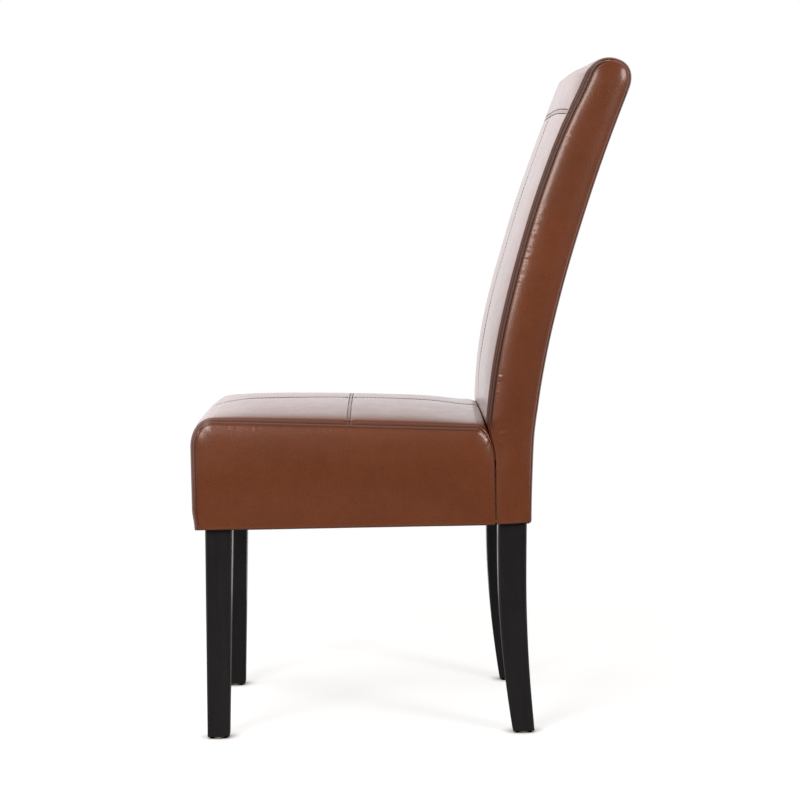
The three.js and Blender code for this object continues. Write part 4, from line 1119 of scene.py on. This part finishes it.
def fill_seat():
    """Foam on the board, and wadding on the front and side rails."""
    rows = stations(SEAT.where(FOAM_BOTTOM + 0.1), SEAT.where(TUCK_END + 1, True), SEAT_ROWS_STEP)
    face = held_apart(SEAT, beneath(SEAT, rows), FOAM_GAP)
    face[..., 1] = np.minimum(face[..., 1], SEAT_REAR - UNDER)
    floor = face.copy()
    floor[..., 1] = np.linspace(SEAT_FRONT + UNDER, SEAT_REAR - UNDER - 0.3, len(rows))[:, None]
    floor[..., 2] = FOAM_BOTTOM
    foam("seat_foam_block", face, floor, "seat_foam")

    rows = stations(SEAT.where(PAD_BOTTOM + 1), SEAT.where(BOARD_TOP - 0.2), FRONT_ROWS_STEP)
    face = beneath(SEAT, rows)
    back = face.copy()
    back[..., 1] = -PLAY
    wadding("seat_front", face, back)

    y, z = np.meshgrid(np.linspace(0.3, 431.2, 90), np.linspace(PAD_BOTTOM, BOARD_TOP, 24))
    side_waddings(SEAT, "seat", joined(y, z))


def fill_back():
    """Foam on the front that turns over the top, and wadding on the rear and the sides."""
    start, top = BACK.where(433), BACK.where(958)
    rear = BACK.where(972, True)
    rows = np.concatenate([stations(start, top, BACK_ROWS_STEP), stations(top, rear, TOP_ROWS_STEP)[1:]])
    face = held_apart(BACK, beneath(BACK, rows), FOAM_GAP)
    turn = np.clip(BACK.at(rows)[1], 0, POST_HEIGHT - 0.01) / POST_HEIGHT
    front_corner = beside(1.0, -half_post(1.0) - WEB_FACE, 0.4)
    rear_corner = beside(1.0, half_post(1.0) + REAR_BUILD - UNDER - 0.5, 0.4)
    over = np.clip((rows - top) / (rear - top), 0, 1)[:, None]
    back = np.where(over > 0, front_corner + (rear_corner - front_corner) * over,
                    beside(turn, -half_post(turn) - WEB_FACE))
    inner = face.copy()
    inner[..., 1:] = back[:, None]
    foam("back_front_foam_pad", face, inner, "back_front_foam")

    rows = stations(BACK.where(953, True), BACK.where(PAD_BOTTOM + 4, True), REAR_ROWS_STEP)
    face, inner = beneath(BACK, rows), beneath(BACK, rows, REAR_BUILD - 0.4)
    inner[..., 0] = face[..., 0]
    wadding("back_rear", face, inner)

    turn = np.linspace(PAD_BOTTOM / POST_HEIGHT, 1, 160)[:, None]
    front = -half_post(turn) + 0.3 + 5 * ease(turn * POST_HEIGHT, 440, 415)
    across = front + np.linspace(0, 1, 14)[None] * (half_post(turn) - 0.3 - front)
    side_waddings(BACK, "back", beside(turn + 0 * across, across))


# The straps' places as shares of the height from the back's bottom to the posts' tops, and their half width
STRAP_SHARES = (0.256, 0.405, 0.5535, 0.702, 0.851)
HALF_STRAP = 25


def stretch_straps():
    """Five woven straps across the fronts of the posts, with slightly thicker selvedges."""
    share = np.linspace(-1, 1, 26)[:, None]
    x = np.linspace(-HALF_FRAME, HALF_FRAME, 60)[None]
    thick = 1.0 + 0.2 * ease(np.abs(share), 0.85, 0.95)
    for number, height in enumerate(STRAP_SHARES, 1):
        turn = BOTTOM_TURN + (1 - BOTTOM_TURN) * height + share * HALF_STRAP / POST_HEIGHT + 0 * x
        front, back = (np.concatenate([joined(x + 0 * turn), beside(turn, across)], -1)
                       for across in (-half_post(turn) - PLAY - thick, -half_post(turn) - PLAY))
        width, length = (np.linalg.norm(front[0, 0] - corner) for corner in (front[0, -1], front[-1, 0]))
        u, v = np.meshgrid(np.linspace(0, width, 60), np.linspace(0, length, 26))
        made = shell(f"back_webbing_{number}", front, back, "webbing", [f"back_webbing_strap_{number}"],
                     uv=np.tile(joined(u, v).reshape(-1, 2) / 1000, (2, 1)))


DUST_TOP, DUST_THICK = 314.75, 0.5
DUST_SAG = 2.2
HALF_LEG_GAP = 172.5


def dust_cloth(name, x_half, y0, y1, notch_y, replaces):
    """A dust cover from y0 to y1 that sags a little, with cut-outs for the legs where Y is below notch_y."""
    x = np.unique(np.concatenate([np.linspace(-x_half, x_half, 61), [-HALF_LEG_GAP, HALF_LEG_GAP]]))
    y = np.linspace(y0, y1, 13)
    if notch_y > y0:
        y = np.unique(np.concatenate([np.linspace(y0, y1, 49), [notch_y]]))
    x, y = np.meshgrid(x, y)
    sag = np.sin(PI * (y - y0) / (y1 - y0)) * np.cos(PI * x / x_half / 2) * (y1 - y0) / 430
    edge = np.minimum(np.minimum(x_half - np.abs(x), y - y0), y1 - y)
    z = DUST_TOP - 0.15 * ripple(x, y, 28) - DUST_SAG * sag - 0.25 * bell(edge, 6)
    top = joined(x, y, z).reshape(-1, 3)
    points = np.concatenate([top, top - (0, 0, DUST_THICK)])
    cells = grid_faces(*x.shape)
    middle = top[cells].mean(1)
    cells = cells[~((np.abs(middle[:, 0]) > HALF_LEG_GAP) & (middle[:, 1] < notch_y))]
    edges = np.concatenate([np.stack([cells[:, k], cells[:, (k + 1) % 4]], -1) for k in range(4)])
    directed = {tuple(edge) for edge in edges.tolist()}
    rim = np.array([edge for edge in directed if edge[::-1] not in directed])
    rim = rim[np.lexsort(rim.T)]
    walls = np.stack([rim[:, 1], rim[:, 0], rim[:, 0] + x.size, rim[:, 1] + x.size], -1)
    used, faces = np.unique(np.concatenate([cells, cells[:, ::-1] + x.size, walls]), return_inverse=True)
    uv = np.tile(top[:, :2] / 1000, (2, 1))[used]
    made = piece(name, points[used], faces.reshape(-1, 4).tolist(), "dust_cloth", [replaces], uv=uv)


STAPLE_PITCH = 24.0
HALF_STAPLE = 5


def staple(x, y, turned):
    """A flattened wire that dips into the cloth at both ends: rings of five points."""
    along = np.linspace(-1, 1, 7)
    ring = np.array([(-0.35, 0), (-0.25, -0.3), (0.25, -0.3), (0.35, 0), (0, 0.25)])
    centre = joined(HALF_STAPLE * along, 0, DUST_TOP - DUST_THICK + 0.05 - 0.21 * (1 - np.abs(along) ** 6))
    body = centre[:, None] + np.pad(ring, ((0, 0), (1, 0)))[None]
    if turned:
        body = body[..., [1, 0, 2]] * (-1, 1, 1)
    return body + (x, y, 0)


def tubes(bodies):
    """The quads and end faces of closed tubes, from their points by body, ring and place on the ring."""
    at = np.arange(bodies.size // 3).reshape(bodies.shape[:-1])
    ahead = np.roll(at, -1, 2)
    quads = np.stack([at[:, :-1], at[:, 1:], ahead[:, 1:], ahead[:, :-1]], -1).reshape(-1, 4)
    return quads, np.concatenate([at[:, 0], at[:, -1, ::-1]])


def close_underside():
    """Black cloth under the seat box and between the rear posts, held by staples."""
    dust_cloth("seat_dust_cloth", 221.5, -4.4, 427.5, 44.5, "seat_dust_cover")
    dust_cloth("back_dust_cloth", HALF_LEG_GAP, 437.5, 479.5, 0, "back_dust_cover")
    x_run, y_run = np.arange(-156, 157, STAPLE_PITCH), np.arange(62, 420, STAPLE_PITCH)
    places = [(x, 0.5, False) for x in x_run]
    places += [(x, 422.3, False) for x in np.arange(-204, 205, STAPLE_PITCH)]
    places += [(way * 216.5, y, True) for way in (-1, 1) for y in y_run]
    places += [(x, y, False) for x in x_run for y in (441.5, 475.5)]
    bodies = np.array([staple(*place) for place in places])
    quads, ends = tubes(bodies)
    piece("dust_cloth_staples", bodies, quads.tolist() + ends.tolist(), "bolt_steel")


# Thread

# A stitch: its share of the pitch, its radius, how deep it sits and its slant
STITCH_SHARE = 0.8
STITCH_RADIUS = 0.42
STITCH_SINK = 0.72
STITCH_SLANT = 0.7
# Heights between which the seat's and the back's edges are stitched, and where the middle rows end or start
SEAT_STITCHED = (330, 440)
BACK_STITCHED = (452, 985)
SEAT_MIDDLE_END = 452
BACK_MIDDLE_START = 432
# How far the rows stop short of a crossing join and of an edge, and the distance between a line's points
CROSS_STOP, EDGE_STOP = 4, 9
LINE_STEP = 0.5


def stitch_row(run, s_line, girth_line):
    """Short capsules end to end along a line on the cover, each slanted a little and sunk at its ends."""
    point, normal = wrap_at(run, s_line, girth_line)
    length = lengths(point)
    start = np.arange(int(length[-1] / PITCH)) * PITCH + PITCH * 0.11
    share = np.array([0, 0.12, 0.5, 0.88, 1])
    radius = STITCH_RADIUS * np.array([0.45, 0.9, 1, 0.9, 0.45])
    lift = np.array([-0.55, -0.1, 0.08, -0.1, -0.55]) - STITCH_SINK
    at = start[:, None] + share[None] * PITCH * STITCH_SHARE
    centre, out = (joined(*(np.interp(at, length, line[:, k]) for k in range(3)))
                   for line in (point, normal))
    ahead = np.gradient(centre, axis=1)
    ahead /= np.linalg.norm(ahead, axis=-1, keepdims=True)
    aside = np.cross(out, ahead)
    centre = centre + out * lift[:, None] + aside * (share - 0.5)[:, None] * STITCH_SLANT
    angle = np.arange(6)[:, None] * PI / 3
    around = np.cos(angle) * out[:, :, None] + np.sin(angle) * aside[:, :, None]
    return centre[:, :, None] + around * radius[:, None, None]


def thread(name, rows):
    """One mesh of all the capsules of some rows."""
    bodies = np.concatenate(rows)
    quads, ends = tubes(bodies)
    a, b, d = (bodies.reshape(-1, 3)[quads[:, k]] for k in (0, 1, 3))
    centre = np.repeat(bodies.mean((1, 2)), len(quads) // len(bodies), 0)
    if (np.cross(b - a, d - a) * (a - centre)).sum() < 0:
        quads, ends = quads[:, ::-1], ends[:, ::-1]
    piece(name, bodies, quads.tolist() + ends.tolist(), "cover_leather", material="thread")


def sew():
    """Rows on both sides of the edge joins, of the middle seams and of the cross seams."""
    for label, run, (low, high) in (("seat", SEAT, SEAT_STITCHED), ("back", BACK, BACK_STITCHED)):
        s = np.arange(run.where(low), run.where(high, run is SEAT), LINE_STEP)
        edge = edge_girth(run, s)
        for side, way in SIDES:
            for place, reach in (("inner", -EDGE_REACH), ("outer", EDGE_REACH)):
                thread(f"{label}_{side}_{place}_edge_stitches", [stitch_row(run, s, way * (edge + reach))])

    def beside_middle(run, *parts):
        return [stitch_row(run, s, way * run.seam + 0 * s) for way in (-1, 1) for s in parts]
    s = np.arange(SEAT.where(SEAT_STITCHED[0]), SEAT.where(SEAT_MIDDLE_END, True), LINE_STEP)
    halves = s[s < SEAT_CROSS - CROSS_STOP], s[s > SEAT_CROSS + CROSS_STOP]
    thread("seat_middle_stitches", beside_middle(SEAT, *halves))
    s = np.arange(BACK.where(BACK_MIDDLE_START), BACK_CROSS - CROSS_STOP, LINE_STEP)
    thread("back_middle_stitches", beside_middle(BACK, s))
    for label, run, cross in (("seat", SEAT, SEAT_CROSS), ("back", BACK, BACK_CROSS)):
        reach = edge_girth(run, cross) - EDGE_STOP
        girth = np.arange(-reach, reach, LINE_STEP)
        halves = (girth[girth < -CROSS_STOP], girth[girth > CROSS_STOP]) if run is SEAT else (girth,)
        thread(f"{label}_cross_stitches", [stitch_row(run, cross + way * run.seam + 0 * half, half)
                                           for way in (-1, 1) for half in halves])


WELD_REACH = 0.00001
TIMBER_BEVEL = 0.0008
BEVEL_ANGLE = 30


def dress_frame():
    """Materials for the carried-over pieces, with slightly rounded edges on the timber."""
    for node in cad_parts.values():
        if node.hide_render:
            continue
        slot = node.data.materials[0].name
        node.data.materials[0] = FINISHES[slot]
        if slot in ("leg_lacquer", "frame_timber"):
            weld = node.modifiers.new("weld", "WELD")
            weld.merge_threshold = WELD_REACH
            bevel = node.modifiers.new("bevel", "BEVEL")
            bevel.width = TIMBER_BEVEL
            bevel.segments = 2
            bevel.limit_method = "ANGLE"
            bevel.angle_limit = math.radians(BEVEL_ANGLE)


aim_camera()
light_studio()
lay_floor()
cover_seat()
cover_back()
cover_seat_sides()
cover_back_sides()
fill_seat()
fill_back()
stretch_straps()
close_underside()
sew()
dress_frame()
